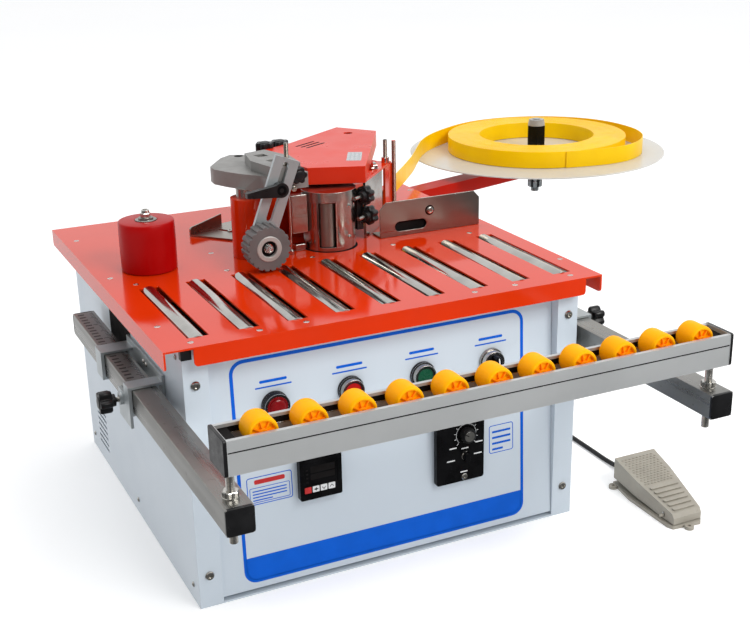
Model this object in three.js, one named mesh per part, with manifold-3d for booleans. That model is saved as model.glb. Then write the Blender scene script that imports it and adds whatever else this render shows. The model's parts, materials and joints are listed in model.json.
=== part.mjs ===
// Table-top edge banding machine. Millimetres, +Z up, X to the right, Y to the back.
// Origin: centre of the cabinet's footprint, on the standing surface.
import * as THREE from 'three';
import { mergeVertices } from 'three/addons/utils/BufferGeometryUtils.js';
import Module from 'manifold-3d';

const wasm = await Module();
wasm.setup();

// ---------------------------------------------------------------- driving dimensions
const GAP = 0.3;                      // clearance between neighbouring pieces

const CAB_X = 229;                    // half width of the cabinet
const CAB_YF = -231;                  // front of the cabinet
const CAB_YB = 229;                   // back of the cabinet
const CAB_TOP = 293.2;                // upper edge of the cabinet walls
const SHEET = 1.6;                    // cabinet sheet thickness
const STRIP_W = 26;                   // width of the front corner strips

const TABLE_X = 250;                  // half width of the table
const TABLE_YF = -245;                // front edge
const TABLE_YB = 247;                 // back edge
const TABLE_TOP = 295.5;              // working height
const TABLE_T = 2;                    // table sheet
const FLANGE_H = 20;                  // folded edge

const SLOT_N = 9;
const SLOT_X0 = -206.5;               // centre of the first slot
const SLOT_PITCH = 52.7;
const SLOT_W = 22.5;
const SLOT_YF = -218;
const SLOT_YB = -45;
const TROLL_R = 10;                   // table roller radius
const TROLL_Z = 287;                  // its axis height

const RAIL_XH = 258;                  // half length of the aluminium rail
const RAIL_YF = -447;
const RAIL_YB = -409;
const RAIL_ZB = 257.7;
const RAIL_ZT = 289.6;
const RAIL_Y = (RAIL_YF + RAIL_YB) / 2;
const RROLL_N = 11;
const RROLL_PITCH = 45.2;
const RROLL_X0 = 3 - 5 * RROLL_PITCH;
const RROLL_R = 14;
const RROLL_Z = 286.5;

const ARM_X = 251;                    // centre of each support arm
const ARM_W = 25.4;
const ARM_ZT = 229.7;
const ARM_ZB = ARM_ZT - ARM_W;
const ARM_YF = -450.3;
const ARM_YB = 100;

const HOUSE_X = 34;                   // roller housing axis
const HOUSE_Y = 10;
const HOUSE_R = 31.5;
const HOUSE_TOP = 367;

const COL_X = -67;                    // red column axis
const COL_Y = 17;
const COL_R = 18.5;

const BUTTON_X0 = -131.7;              // first of the row of panel controls
const BUTTON_PITCH = 85.1;
const BUTTON_Z = 209;

const WHEEL_X = -70;                  // press wheel axis
const WHEEL_Z = 323.5;
const WHEEL_R = 26;
const LEVER_TILT = 21.3;              // lean of the slotted lever, degrees

const DISC_X = 503.5;                 // tape disc axis
const DISC_Y = 289;
const DISC_R = 193.5;
const DISC_Z = 308;
const COIL_RI = 87;                   // tape coil radii and width
const COIL_RO = 135;
const TAPE_W = 24;

const CORD_R = 3;                     // pedal cord radius
const COIL_X = 60;                    // coiled slack of the cord, on the floor behind
const COIL_Y = 330;
const COIL_MID_R = 33;

// ---------------------------------------------------------------- colours
const C = {
  red: 0xe5361a, paint: 0xdfe5ec, cover: 0xe8432c, chrome: 0xc9ccce, steel: 0xa9acab,
  zinc: 0xaab4b6, cast: 0x7f7f7c, black: 0x151515, alu: 0xb9bdbd, orange: 0xff9a10,
  yellow: 0xffb60a, white: 0xe9e8e4, rubber: 0x67666a, pu: 0xc4140c, beige: 0x9c9688,
  lamp: 0xa01015, green: 0x0d6a3d, grey: 0x8c8f92,
};

// ---------------------------------------------------------------- helpers
const group = new THREE.Group();

function solid(geometry) {
  const g = geometry.clone();
  for (const k of Object.keys(g.attributes)) if (k !== 'position') g.deleteAttribute(k);
  const m = mergeVertices(g, 1e-4);
  return new wasm.Manifold(new wasm.Mesh({
    numProp: 3,
    vertProperties: new Float32Array(m.attributes.position.array),
    triVerts: new Uint32Array(m.index.array),
  }));
}
function toGeometry(man) {
  const mesh = man.getMesh();
  const g = new THREE.BufferGeometry();
  const np = mesh.numProp;
  const pos = new Float32Array(mesh.vertProperties.length / np * 3);
  for (let i = 0; i < pos.length / 3; i++)
    for (let k = 0; k < 3; k++) pos[i * 3 + k] = mesh.vertProperties[i * np + k];
  g.setAttribute('position', new THREE.BufferAttribute(pos, 3));
  g.setIndex(new THREE.BufferAttribute(new Uint32Array(mesh.triVerts), 1));
  g.computeVertexNormals();
  return g;
}
function add(name, man, colour, rough = 0.5, metal = 0) {
  const material = new THREE.MeshStandardMaterial({ color: colour, roughness: rough, metalness: metal });
  const mesh = new THREE.Mesh(toGeometry(man), material);
  mesh.name = name;
  group.add(mesh);
}
// a box from its limits
function box(x0, x1, y0, y1, z0, z1) {
  const g = new THREE.BoxGeometry(x1 - x0, y1 - y0, z1 - z0);
  g.translate((x0 + x1) / 2, (y0 + y1) / 2, (z0 + z1) / 2);
  return solid(g);
}
// a cylinder along axis 'x', 'y' or 'z' between two positions on that axis
function cyl(axis, a, b, r, t0, t1, seg = 24, r2 = r) {
  const g = new THREE.CylinderGeometry(r2, r, t1 - t0, seg);
  const mid = (t0 + t1) / 2;
  if (axis === 'z') { g.rotateX(Math.PI / 2); g.translate(a, b, mid); }
  if (axis === 'y') { g.translate(a, mid, b); }
  if (axis === 'x') { g.rotateZ(-Math.PI / 2); g.translate(mid, a, b); }
  return solid(g);
}
// an upright prism from a plan outline
function prism(points, z0, z1) {
  const s = new THREE.Shape(points.map(([x, y]) => new THREE.Vector2(x, y)));
  const g = new THREE.ExtrudeGeometry(s, { depth: z1 - z0, bevelEnabled: false });
  g.translate(0, 0, z0);
  return solid(g);
}
// a prism along Y from an outline in (x, z)
function prismY(points, y0, y1) {
  const s = new THREE.Shape(points.map(([x, z]) => new THREE.Vector2(x, z)));
  const g = new THREE.ExtrudeGeometry(s, { depth: y1 - y0, bevelEnabled: false });
  g.rotateX(Math.PI / 2);
  g.translate(0, y1, 0);
  return solid(g);
}
// a prism along X from an outline in (y, z)
function prismX(points, x0, x1) {
  const s = new THREE.Shape(points.map(([y, z]) => new THREE.Vector2(y, z)));
  const g = new THREE.ExtrudeGeometry(s, { depth: x1 - x0, bevelEnabled: false });
  g.rotateX(Math.PI / 2);
  g.rotateZ(Math.PI / 2);
  g.translate(x0, 0, 0);
  return solid(g);
}
// a ring or stepped turned piece about a vertical axis
function turned(profile, seg, x, y) {
  const g = new THREE.LatheGeometry(profile.map(([r, z]) => new THREE.Vector2(r, z)), seg);
  g.rotateX(Math.PI / 2);
  g.translate(x, y, 0);
  return solid(g);
}
// rounded rectangle outline
function roundRect(x0, x1, z0, z1, r, n = 4) {
  const pts = [];
  const corners = [[x1 - r, z0 + r, -90], [x1 - r, z1 - r, 0], [x0 + r, z1 - r, 90], [x0 + r, z0 + r, 180]];
  for (const [cx, cz, a0] of corners)
    for (let i = 0; i <= n; i++) {
      const a = (a0 + 90 * i / n) * Math.PI / 180;
      pts.push([cx + r * Math.cos(a), cz + r * Math.sin(a)]);
    }
  return pts;
}
// a slot with round ends, as an outline
function slotOutline(x0, z0, x1, z1, r, n = 6) {
  const a = Math.atan2(z1 - z0, x1 - x0);
  const pts = [];
  for (let i = 0; i <= n; i++) {
    const t = a - Math.PI / 2 + Math.PI * i / n;
    pts.push([x1 + r * Math.cos(t), z1 + r * Math.sin(t)]);
  }
  for (let i = 0; i <= n; i++) {
    const t = a + Math.PI / 2 + Math.PI * i / n;
    pts.push([x0 + r * Math.cos(t), z0 + r * Math.sin(t)]);
  }
  return pts;
}
// star knob outline with rounded lobes
function starOutline(cx, cy, r, lobes = 6, depth = 0.16, n = 36) {
  const pts = [];
  for (let i = 0; i < n; i++) {
    const t = i / n * Math.PI * 2;
    const rr = r * (1 - depth / 2 + depth / 2 * Math.cos(lobes * t));
    pts.push([cx + rr * Math.cos(t), cy + rr * Math.sin(t)]);
  }
  return pts;
}
const rad = (d) => d * Math.PI / 180;

// ---------------------------------------------------------------- cabinet
{
  const x = CAB_X, s = SHEET;
  let body = box(-x, x, CAB_YF, CAB_YB, 0, 2);                       // base pan
  body = body.add(box(-x, -x + s, CAB_YF, CAB_YB, 0, CAB_TOP));       // left wall
  body = body.add(box(x - s, x, CAB_YF, CAB_YB, 0, CAB_TOP));         // right wall
  body = body.add(box(-x, x, CAB_YB - s, CAB_YB, 0, CAB_TOP));        // rear wall
  for (const k of [-1, 1]) {
    const xo = k * x, xi = k * (x - STRIP_W);
    body = body.add(box(Math.min(xo, xi), Math.max(xo, xi), CAB_YF, CAB_YF + s, 0, CAB_TOP));
    const r0 = Math.min(xi, xi + k * s), r1 = Math.max(xi, xi + k * s);
    body = body.add(box(r0, r1, CAB_YF, CAB_YF + 22, 0, 272));
  }
  body = body.add(box(-x, x, CAB_YF + 18, CAB_YF + 24, 252, 272));    // front cross rail
  body = body.add(box(-x, x, CAB_YB - 18, CAB_YB, 291, CAB_TOP));     // rear top lip
  // pressed vent slots low at the back of the left wall and in the rear wall
  for (let i = 0; i < 7; i++) {
    const z = 22 + 8 * i;
    body = body.subtract(box(-x - 1, -x + s + 1, 138, 184, z, z + 3.2));
  }
  for (let i = 0; i < 10; i++) {
    const z = 120 + 12 * i;
    for (const xc of [-90, 90]) body = body.subtract(box(xc - 45, xc + 45, CAB_YB - s - 1, CAB_YB + 1, z, z + 4));
  }
  // power inlet opening and cord hole in the rear wall
  body = body.subtract(box(-184, -156, CAB_YB - s - 1, CAB_YB + 1, 38, 60));
  body = body.add(cyl('y', 150, 45, 8, CAB_YB - 1, CAB_YB + 11, 20));   // cord gland
  body = body.subtract(cyl('y', 150, 45, 3.4, CAB_YB - 4, CAB_YB + 12, 16));
  add('cabinet_body', body, C.paint, 0.35, 0.1);
}
// front panel, leaning back towards its top, with its control openings
{
  const y0 = CAB_YF + 2, y1 = CAB_YF + 13.7, xh = CAB_X - STRIP_W - GAP - 0.1;
  const z0 = 6, z1 = 272.5;
  const lean = (z) => y0 + (y1 - y0) * (z - z0) / (z1 - z0);
  let p = prismX([[y0, z0], [y0 + SHEET, z0], [y1 + SHEET, z1], [y1, z1]], -xh, xh);
  p = p.add(box(-xh, xh, y0, y0 + 14, z0, z0 + 1.5));                // lower fold
  // bezels of the lamp, the two buttons and the selector
  for (let i = 0; i < 4; i++) {
    const cx = BUTTON_X0 + BUTTON_PITCH * i, yb = lean(BUTTON_Z);
    p = p.add(cyl('y', cx, BUTTON_Z, 14.4, yb - 3, yb + 0.6, 28));
    p = p.add(cyl('y', cx, BUTTON_Z, i === 0 ? 14 : 12.8, yb - 9, yb - 2.9, 28));
    p = p.subtract(cyl('y', cx, BUTTON_Z, 11.6, yb - 12, yb + 8, 28));
  }
  p = p.subtract(box(-89 - 22.4, -89 + 22.4, -250, -190, 122 - 22.4, 122 + 22.4));
  p = p.subtract(box(79 - 24, 79 + 24, -250, -190, 86, 174));
  add('front_panel', p, C.paint, 0.35, 0.1);
}
// controls on the front panel
const PANEL_Y = (z) => CAB_YF + 2 + 11.7 * (z - 6) / 266.5;
{
  const y = PANEL_Y(BUTTON_Z);
  const bx = (i) => BUTTON_X0 + BUTTON_PITCH * i;
  const cap = (i, front) => cyl('y', bx(i), BUTTON_Z, 11.2, front, y + 24, 24);
  add('power_lamp', cap(0, y - 9).add(cyl('y', bx(0), BUTTON_Z, 8.5, y - 12.5, y - 8.9, 24, 11.2)), C.lamp, 0.25);
  add('power_button', cap(1, y - 8.4), C.lamp, 0.3);
  add('start_button', cap(2, y - 8.4), C.green, 0.3);
  let sw = cap(3, y - 10);
  sw = sw.add(box(bx(3) - 3.4, bx(3) + 3.4, y - 21, y - 9, BUTTON_Z - 10.6, BUTTON_Z + 10.6));
  add('mode_switch', sw, C.black, 0.35);
}
{
  const y = PANEL_Y(146);
  let t = prismY(roundRect(-89 - 24, -89 + 24, 98, 146, 2, 3), PANEL_Y(98) - 9, PANEL_Y(98) - 1);
  t = t.add(box(-89 - 22, -89 + 22, PANEL_Y(98) - 2, PANEL_Y(98) + 70, 100, 144));
  t = t.subtract(box(-89 - 19, -89 + 19, PANEL_Y(98) - 12, PANEL_Y(98) - 8, 113, 140));
  add('temperature_controller', t, C.black, 0.35);
  const f = PANEL_Y(76) - 7;
  let s = prismY(roundRect(79 - 30, 79 + 30, 76, 183, 3, 3), f, PANEL_Y(76) - 0.6);
  s = s.add(box(79 - 23.6, 79 + 23.6, PANEL_Y(76) - 1, PANEL_Y(76) + 50, 87, 173));
  s = s.subtract(cyl('y', 86, 133, 9.5, f - 1, f + 3, 32));
  s = s.add(box(82, 88, f - 7, f + 1, 102, 112));                     // toggle
  add('speed_controller', s, C.black, 0.4);
  let d = cyl('y', 86, 133, 9, f - 9, f + 2.6, 32);
  d = d.add(box(85.2, 86.8, f - 9.8, f - 8, 134, 141.5));
  add('speed_dial', d, C.black, 0.4);
}

// ---------------------------------------------------------------- table
const slotX = (i) => SLOT_X0 + SLOT_PITCH * i;
{
  const zu = TABLE_TOP - TABLE_T;
  const r = 4;
  let t = prism([[-TABLE_X, TABLE_YF], [TABLE_X, TABLE_YF], [TABLE_X, TABLE_YB], [-TABLE_X, TABLE_YB]], zu, TABLE_TOP);
  const zf = TABLE_TOP - FLANGE_H;
  // front flange, short of both corners, side flanges to the corners, rear flange
  t = t.add(prismY(roundRect(-220, 229, zf, TABLE_TOP, r, 4), TABLE_YF, TABLE_YF + TABLE_T));
  for (const k of [-1, 1]) {
    const x0 = k < 0 ? -TABLE_X : TABLE_X - TABLE_T;
    t = t.add(prismX(roundRect(TABLE_YF, TABLE_YB, zf, TABLE_TOP, r, 4), x0, x0 + TABLE_T));
  }
  t = t.add(prismY(roundRect(-240, 240, zf, TABLE_TOP, r, 4), TABLE_YB - TABLE_T, TABLE_YB));
  // roller carriers with their bearing holes
  t = t.add(box(-226.5, 226.5, SLOT_YF - 5.2, SLOT_YF - 1.2, 274, zu + 0.2));
  t = t.add(box(-226.5, 226.5, SLOT_YB + 1.2, SLOT_YB + 5.2, 274, zu + 0.2));
  for (let i = 0; i < SLOT_N; i++) {
    const x = slotX(i);
    t = t.subtract(box(x - SLOT_W / 2, x + SLOT_W / 2, SLOT_YF, SLOT_YB, zu - 1, TABLE_TOP + 1));
    t = t.subtract(cyl('y', x, TROLL_Z, 2.8, SLOT_YF - 6, SLOT_YF, 8));
    t = t.subtract(cyl('y', x, TROLL_Z, 2.8, SLOT_YB, SLOT_YB + 6, 8));
    add(`table_roller_${i + 1}`,
      cyl('y', x, TROLL_Z, TROLL_R, SLOT_YF + 1.2, SLOT_YB - 1.2, 24)
        .add(cyl('y', x, TROLL_Z, 2.2, SLOT_YF - 5, SLOT_YB + 5, 8)), C.chrome, 0.12, 1);
  }
  add('table_top', t, C.red, 0.25);
}

// ---------------------------------------------------------------- rail and its rollers
{
  const w = 2.4;
  // channel section with an outward rib on each side
  const sec = (k) => [RAIL_Y + k * 19, RAIL_ZB];
  let rail = box(-RAIL_XH, RAIL_XH, RAIL_YF, RAIL_YB, RAIL_ZB, RAIL_ZT)
    .subtract(box(-RAIL_XH - 1, RAIL_XH + 1, RAIL_YF + w, RAIL_YB - w, RAIL_ZB + w, RAIL_ZT + 1));
  for (const k of [-1, 1]) {
    const ye = sec(k)[0];
    rail = rail.subtract(box(-RAIL_XH - 1, RAIL_XH + 1, ye - 0.7, ye + 0.7, RAIL_ZB + 20, RAIL_ZB + 21.4));
    const yi = ye - k * w;
    rail = rail.add(box(-RAIL_XH, RAIL_XH, Math.min(yi, yi - k * 1.6), Math.max(yi, yi - k * 1.6) , RAIL_ZT - 3, RAIL_ZT));
  }
  // end caps
  for (const k of [-1, 1]) {
    const x0 = k < 0 ? -RAIL_XH - 3 : RAIL_XH - 0.5, x1 = k < 0 ? -RAIL_XH + 0.5 : RAIL_XH + 3;
    rail = rail.add(prismX(roundRect(RAIL_YF - 0.3, RAIL_YB + 0.3, RAIL_ZB - 0.3, RAIL_ZT + 0.6, 2, 2), x0, x1));
  }
  // bosses that take the roller pins, and the holes in them
  for (let i = 0; i < RROLL_N; i++) {
    const x = RROLL_X0 + RROLL_PITCH * i;
    rail = rail.subtract(cyl('y', x, RROLL_Z, 2.3, RAIL_YF + 0.8, RAIL_YB - 0.8, 8));
    let ro = cyl('y', x, RROLL_Z, RROLL_R, RAIL_Y - 12, RAIL_Y + 12, 20);
    ro = ro.subtract(cyl('y', x, RROLL_Z, RROLL_R - 3, RAIL_Y - 13, RAIL_Y - 10, 12));
    ro = ro.add(cyl('y', x, RROLL_Z, 1.9, RAIL_YF + 1.2, RAIL_YB - 1.2, 8));
    add(`rail_roller_${i + 1}`, ro, C.orange, 0.35);
  }
  for (const k of [-1, 1]) rail = rail.subtract(cyl('z', k * ARM_X, RAIL_Y, 4.4, RAIL_ZB - 1, RAIL_ZB + w + 1, 16));
  add('roller_rail', rail, C.alu, 0.35, 0.9);
}

// ---------------------------------------------------------------- support arms, saddles, knobs, studs
const hexagon = (cx, cy, af) => Array.from({ length: 6 }, (_, i) => [
  cx + af / Math.sqrt(3) * Math.cos(rad(60 * i + 30)), cy + af / Math.sqrt(3) * Math.sin(rad(60 * i + 30))]);
for (const [side, k] of [['left', -1], ['right', 1]]) {
  const xc = k * ARM_X, h = ARM_W / 2, w = 1.6;
  let arm = box(xc - h, xc + h, ARM_YF, ARM_YB, ARM_ZB, ARM_ZT)
    .subtract(box(xc - h + w, xc + h - w, ARM_YF + 3, ARM_YB - 3, ARM_ZB + w, ARM_ZT - w));
  arm = arm.add(prism(hexagon(xc, RAIL_Y, 13), ARM_ZT - 0.5, ARM_ZT + 6));
  arm = arm.subtract(cyl('z', xc, RAIL_Y, 4.4, ARM_ZB - 5, ARM_ZT + 8, 16));
  add(`support_arm_${side}`, arm, C.steel, 0.3, 1);

  let stud = cyl('z', xc, RAIL_Y, 4, 186, RAIL_ZB + 12, 16);
  stud = stud.add(prism(hexagon(xc, RAIL_Y, 12), RAIL_ZB + 2.7, RAIL_ZB + 8));
  stud = stud.add(prism(hexagon(xc, RAIL_Y, 12), RAIL_ZB - 5.6, RAIL_ZB - 0.3));
  add(`height_stud_${side}`, stud, C.chrome, 0.25, 1);

  // saddle: a plate on the cabinet wall and two loops round the tube
  const shift = k < 0 ? 0 : -50;
  const X = (a, b) => (k < 0 ? [a, b] : [-b, -a]);
  const part = (a, b, y0, y1, z0, z1) => { const [x0, x1] = X(a, b); return box(x0, x1, y0 + shift, y1 + shift, z0, z1); };
  let br = part(-232.3, -229.3, -165, -28, 198, 240);
  for (const [y0, y1] of k < 0 ? [[-165, -146], [-53, -28]] : [[-153, -125], [-53, -28]]) {
    br = br.add(part(-268, -229.3, y0, y1, 201, 233))
      .subtract(part(-264.1, -238, y0 - 1, y1 + 1, 204, 230))
      .subtract(part(-236, -232.3, y0 - 1, y1 + 1, 204, 230));
  }
  br = br.add(part(-268, -265, k < 0 ? -165 : -153, -120, 188, 204.5));
  br = br.add(part(-268, -264.1, -150, -122, 201, k < 0 ? 220 : 233));
  const ky = -134 + (k < 0 ? 0 : -52), kz = k < 0 ? 211 : 223;
  br = br.add(cyl('x', ky, kz, 7, ...X(-271, -265), 20));
  br = br.subtract(cyl('x', ky, kz, 3.4, ...X(-272, -264), 16));
  add(`arm_bracket_${side}`, br, C.zinc, 0.35, 0.9);

  let kn = cyl('x', ky, kz, 3, ...X(-280, -265.1), 16);
  const star = new THREE.Shape(starOutline(0, 0, 12.5, 5, 0.3).map(([a, b]) => new THREE.Vector2(a, b)));
  const g = new THREE.ExtrudeGeometry(star, { depth: 14, bevelEnabled: false });
  g.rotateY(Math.PI / 2);
  g.translate(X(-293, -279)[0], ky, kz);
  kn = kn.add(solid(g)).add(cyl('x', ky, kz, 6.5, ...X(-280, -275), 20));
  add(`clamp_knob_${side}`, kn, C.black, 0.4);
}

// ---------------------------------------------------------------- head
const TZ = TABLE_TOP + GAP;            // underside of what stands on the table
{
  // column, web and pot body, one welded piece
  let f = cyl('z', COL_X, COL_Y, COL_R, TZ, 366, 36).subtract(cyl('z', COL_X, COL_Y, 11.6, 320, 367, 24));
  f = f.add(prism([[-62, 30], [-55, 26], [12, 72], [8, 78]], 300, 358));
  f = f.add(prism([[2, 66], [62, 48], [158, 172], [124, 214], [60, 192], [2, 160]], TZ, 369.2));
  // flange with its bolt and threaded rod, and the steel side plate under it
  f = f.add(prism([[86, 13], [141.9, 73.3], [156.6, 89.6], [142, 97], [128, 133], [122, 133], [76, 72], [60, 50]], 366.3, 369.2));
  f = f.add(prism([[84.5, 13.5], [131, 64], [128.8, 66], [82.3, 15.5]], TZ, 367));
  f = f.add(cyl('z', 146.3, 85, 2.5, 367, 398.4, 12)).add(prism(hexagon(146.3, 85, 8.5), 369, 376));
  f = f.add(cyl('z', 118.7, 61, 4.2, 369, 375, 12));
  f = f.subtract(prism([[10, 72], [60, 57], [148, 172], [121, 204], [62, 184], [10, 154]], 330, 370));
  add('head_frame', f, C.red, 0.3);

  let cover = prism([[13, 21], [77, -4], [91, 21], [180, 181], [144, 232], [50, 167], [-13, 135]], 369.5, 390);
  cover = cover.subtract(prism([[17, 26], [76, 2], [88, 25], [174, 181], [142, 226], [52, 163], [-7, 132]], 368, 388));
  cover = cover.subtract(cyl('z', 141, 187, 6, 380, 392, 20));
  cover = cover.add(cyl('z', 60, 110, 6, 369.5, 388.5, 16));          // fixing posts inside
  cover = cover.add(cyl('z', 108, 150, 6, 369.5, 388.5, 16));
  add('head_cover', cover, C.cover, 0.35);

  // steel housing with a front window and a rear window towards the pot
  let h = cyl('z', HOUSE_X, HOUSE_Y, HOUSE_R, TZ, HOUSE_TOP - 12, 36);
  h = h.add(cyl('z', HOUSE_X, HOUSE_Y, HOUSE_R + 1.5, HOUSE_TOP - 12, HOUSE_TOP, 36));
  h = h.subtract(cyl('z', HOUSE_X, HOUSE_Y, HOUSE_R - 3.5, TZ + 5, HOUSE_TOP - 6, 28));
  h = h.subtract(box(11.5, 37, -40, 10, TZ + 5, HOUSE_TOP - 12));
  h = h.subtract(cyl('z', 24, -7, 5.3, HOUSE_TOP - 7, HOUSE_TOP - 1.5, 16));
  h = h.subtract(box(20, 50, 20, 50, 305, 350));
  add('roller_housing', h, C.steel, 0.25, 1);
  let g = cyl('z', 24, -7, 11.4, TZ + 5.3, HOUSE_TOP - 12.5, 32).add(cyl('z', 24, -7, 5, TZ + 10, HOUSE_TOP - 2, 16));
  add('glue_roller', g, C.chrome, 0.2, 1);

  // cast arm on its steel post, with the boss that carries the slotted lever
  let a = prism([[-92, 66], [-93, 50], [-84, 29], [-72, 9], [-58, -8], [-46, -30.5], [-30, -30.5], [-29.4, -17], [-2, -17], [-8, 24],
    [-18, 84], [-33, 106], [-50, 116], [-66, 104]], 377, 395);
  a = a.add(prism([[-50, 62], [-58, 20], [-48, -30.5], [-30, -30.5], [-29.4, -17], [-11, -17], [-8, 24], [-22, 70]], 385, 407));
  a = a.subtract(prism([[-45, 47], [-32, 47], [-30, 34], [-43, 34]], 401, 409));
  a = a.subtract(prism([[-42, 14], [-30, 14], [-28, 3], [-40, 3]], 401, 409));
  a = a.subtract(cyl('z', -43, 104, 5.5, 385, 396, 20));
  a = a.add(box(-54, -38, -30.5, -12, 377, 392));                       // clamp boss
  a = a.add(cyl('z', COL_X, COL_Y, 11.2, 321, 378, 28));
  a = a.add(cyl('z', -31, -25, 2.4, 400, 433, 12));
  a = a.subtract(cyl('y', -46, 384.3, 3.4, -40, -8, 16));
  a = a.subtract(cyl('y', -17.5, 394.5, 3.4, -32, -3, 12));
  add('cast_arm', a, C.cast, 0.45, 0.6);
}
{
  // slotted lever: local u to the right, v along the lever, pivot at the wheel
  const ct = Math.cos(rad(LEVER_TILT)), st = Math.sin(rad(LEVER_TILT));
  const P = (u, v) => [WHEEL_X + u * ct + v * st, WHEEL_Z - u * st + v * ct];
  const Y0 = -36, Y1 = -31;
  const outline = [[-15, 101], [-15, 8], [-12, -4], [-5, -12], [5, -12], [12, -4], [15, 8], [15, 101]].map(([u, v]) => P(u, v));
  let l = prismY(outline.reverse(), Y0, Y1);
  const s0 = P(0, 30), s1 = P(0, 93);
  l = l.subtract(prismY(slotOutline(s0[0], s0[1], s1[0], s1[1], 3.7), Y0 - 1, Y1 + 1));
  l = l.add(cyl('y', WHEEL_X, WHEEL_Z, 4, -62.5, Y0 + 1, 20));        // wheel bolt
  l = l.add(cyl('y', WHEEL_X, WHEEL_Z, 4.6, -62.5, -58.5, 6));
  add('wheel_lever', l, C.zinc, 0.35, 0.9);

  // toothed press wheel
  const teeth = [];
  const n = 60;
  for (let i = 0; i < n; i++) {
    const t = i / n * Math.PI * 2;
    const rr = (i % 3 === 0) ? WHEEL_R - 1.6 : WHEEL_R;
    teeth.push([WHEEL_X + rr * Math.cos(t), WHEEL_Z + rr * Math.sin(t)]);
  }
  let w = prismY(teeth, -61, -38.5);
  w = w.subtract(cyl('y', WHEEL_X, WHEEL_Z, 9.3, -62, -57, 28));
  w = w.subtract(cyl('y', WHEEL_X, WHEEL_Z, 4.3, -62, -37, 20));
  add('press_wheel', w, C.rubber, 0.6);

  // black clamp handle through the slot, and the star knob beside it
  let c = cyl('y', -46, 384.3, 3, -38, -10, 16);
  c = c.add(cyl('y', -46, 384.3, 8.5, -46, -36.3, 24));
  c = c.add(prismY([[-46, 376.2], [-42, 392], [-87.2, 385.4], [-87.2, 379.6]], -46, -38.5));
  add('clamp_lever', c, C.black, 0.4);
  let k = prismY(starOutline(-17.5, 394.5, 10.2, 6, 0.16, 24), -29.5, -21);
  k = k.add(cyl('y', -17.5, 394.5, 3, -22, -4, 12));
  add('lever_knob', k, C.black, 0.4);
}

// ---------------------------------------------------------------- table furniture
{
  // fence: upright stainless plate with a foot, slot and screw
  let f = prismY([[98.5, TZ], [237, TZ], [237, 331], [229, 339.5], [107, 339.5], [98.5, 331]], 3, 5);
  f = f.subtract(prismY(slotOutline(124.6, 307.5, 156, 307.5, 6.2), 2, 6));
  f = f.add(box(98.5, 237, 4.9, 26, TZ, TZ + 2));
  f = f.add(cyl('y', 166.4, 323, 4.5, 0.4, 3.2, 6));
  add('edge_fence', f, C.steel, 0.3, 1);

  let g = prism([[-104, 130], [-62, 82], [-30, 96], [-27, 168], [-52.6, 161.5]], TZ, TZ + 2);
  g = g.subtract(prism(slotOutline(-62, 132, -50, 112, 3), TZ - 1, TZ + 3));
  const wx = [[-104, 130], [-52.6, 161.5]];
  const wall = new THREE.Shape([[0, 0], [60.3, 0], [60.3, 15], [2, 11], [0, 9]].map(([u, v]) => new THREE.Vector2(u, v)));
  const wg = new THREE.ExtrudeGeometry(wall, { depth: 2, bevelEnabled: false });
  wg.rotateX(Math.PI / 2);
  wg.rotateZ(Math.atan2(wx[1][1] - wx[0][1], wx[1][0] - wx[0][0]));
  wg.translate(wx[0][0], wx[0][1], TZ);
  g = g.add(solid(wg));
  add('corner_guide', g, C.steel, 0.3, 1);

  let r = cyl('z', -185, 25, 32, TZ, 353, 48).subtract(cyl('z', -185, 25, 5, TZ - 1, 354, 20));
  add('pressure_roller', r, C.pu, 0.45);

  // tape guide: upright post with its foot, and the threaded rod at its edge
  let t = prism([[138.5, 69.5], [160.2, 93.4], [158, 95.4], [136.3, 71.5]], TZ, 366);
  t = t.add(prism([[138.5, 69.5], [160.2, 93.4], [152, 100.9], [130.3, 77]], TZ, TZ + 3));
  t = t.add(cyl('z', 162, 92.3, 2.6, 300, 394.5, 12));
  add('tape_guide', t, C.red, 0.3);
}

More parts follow.
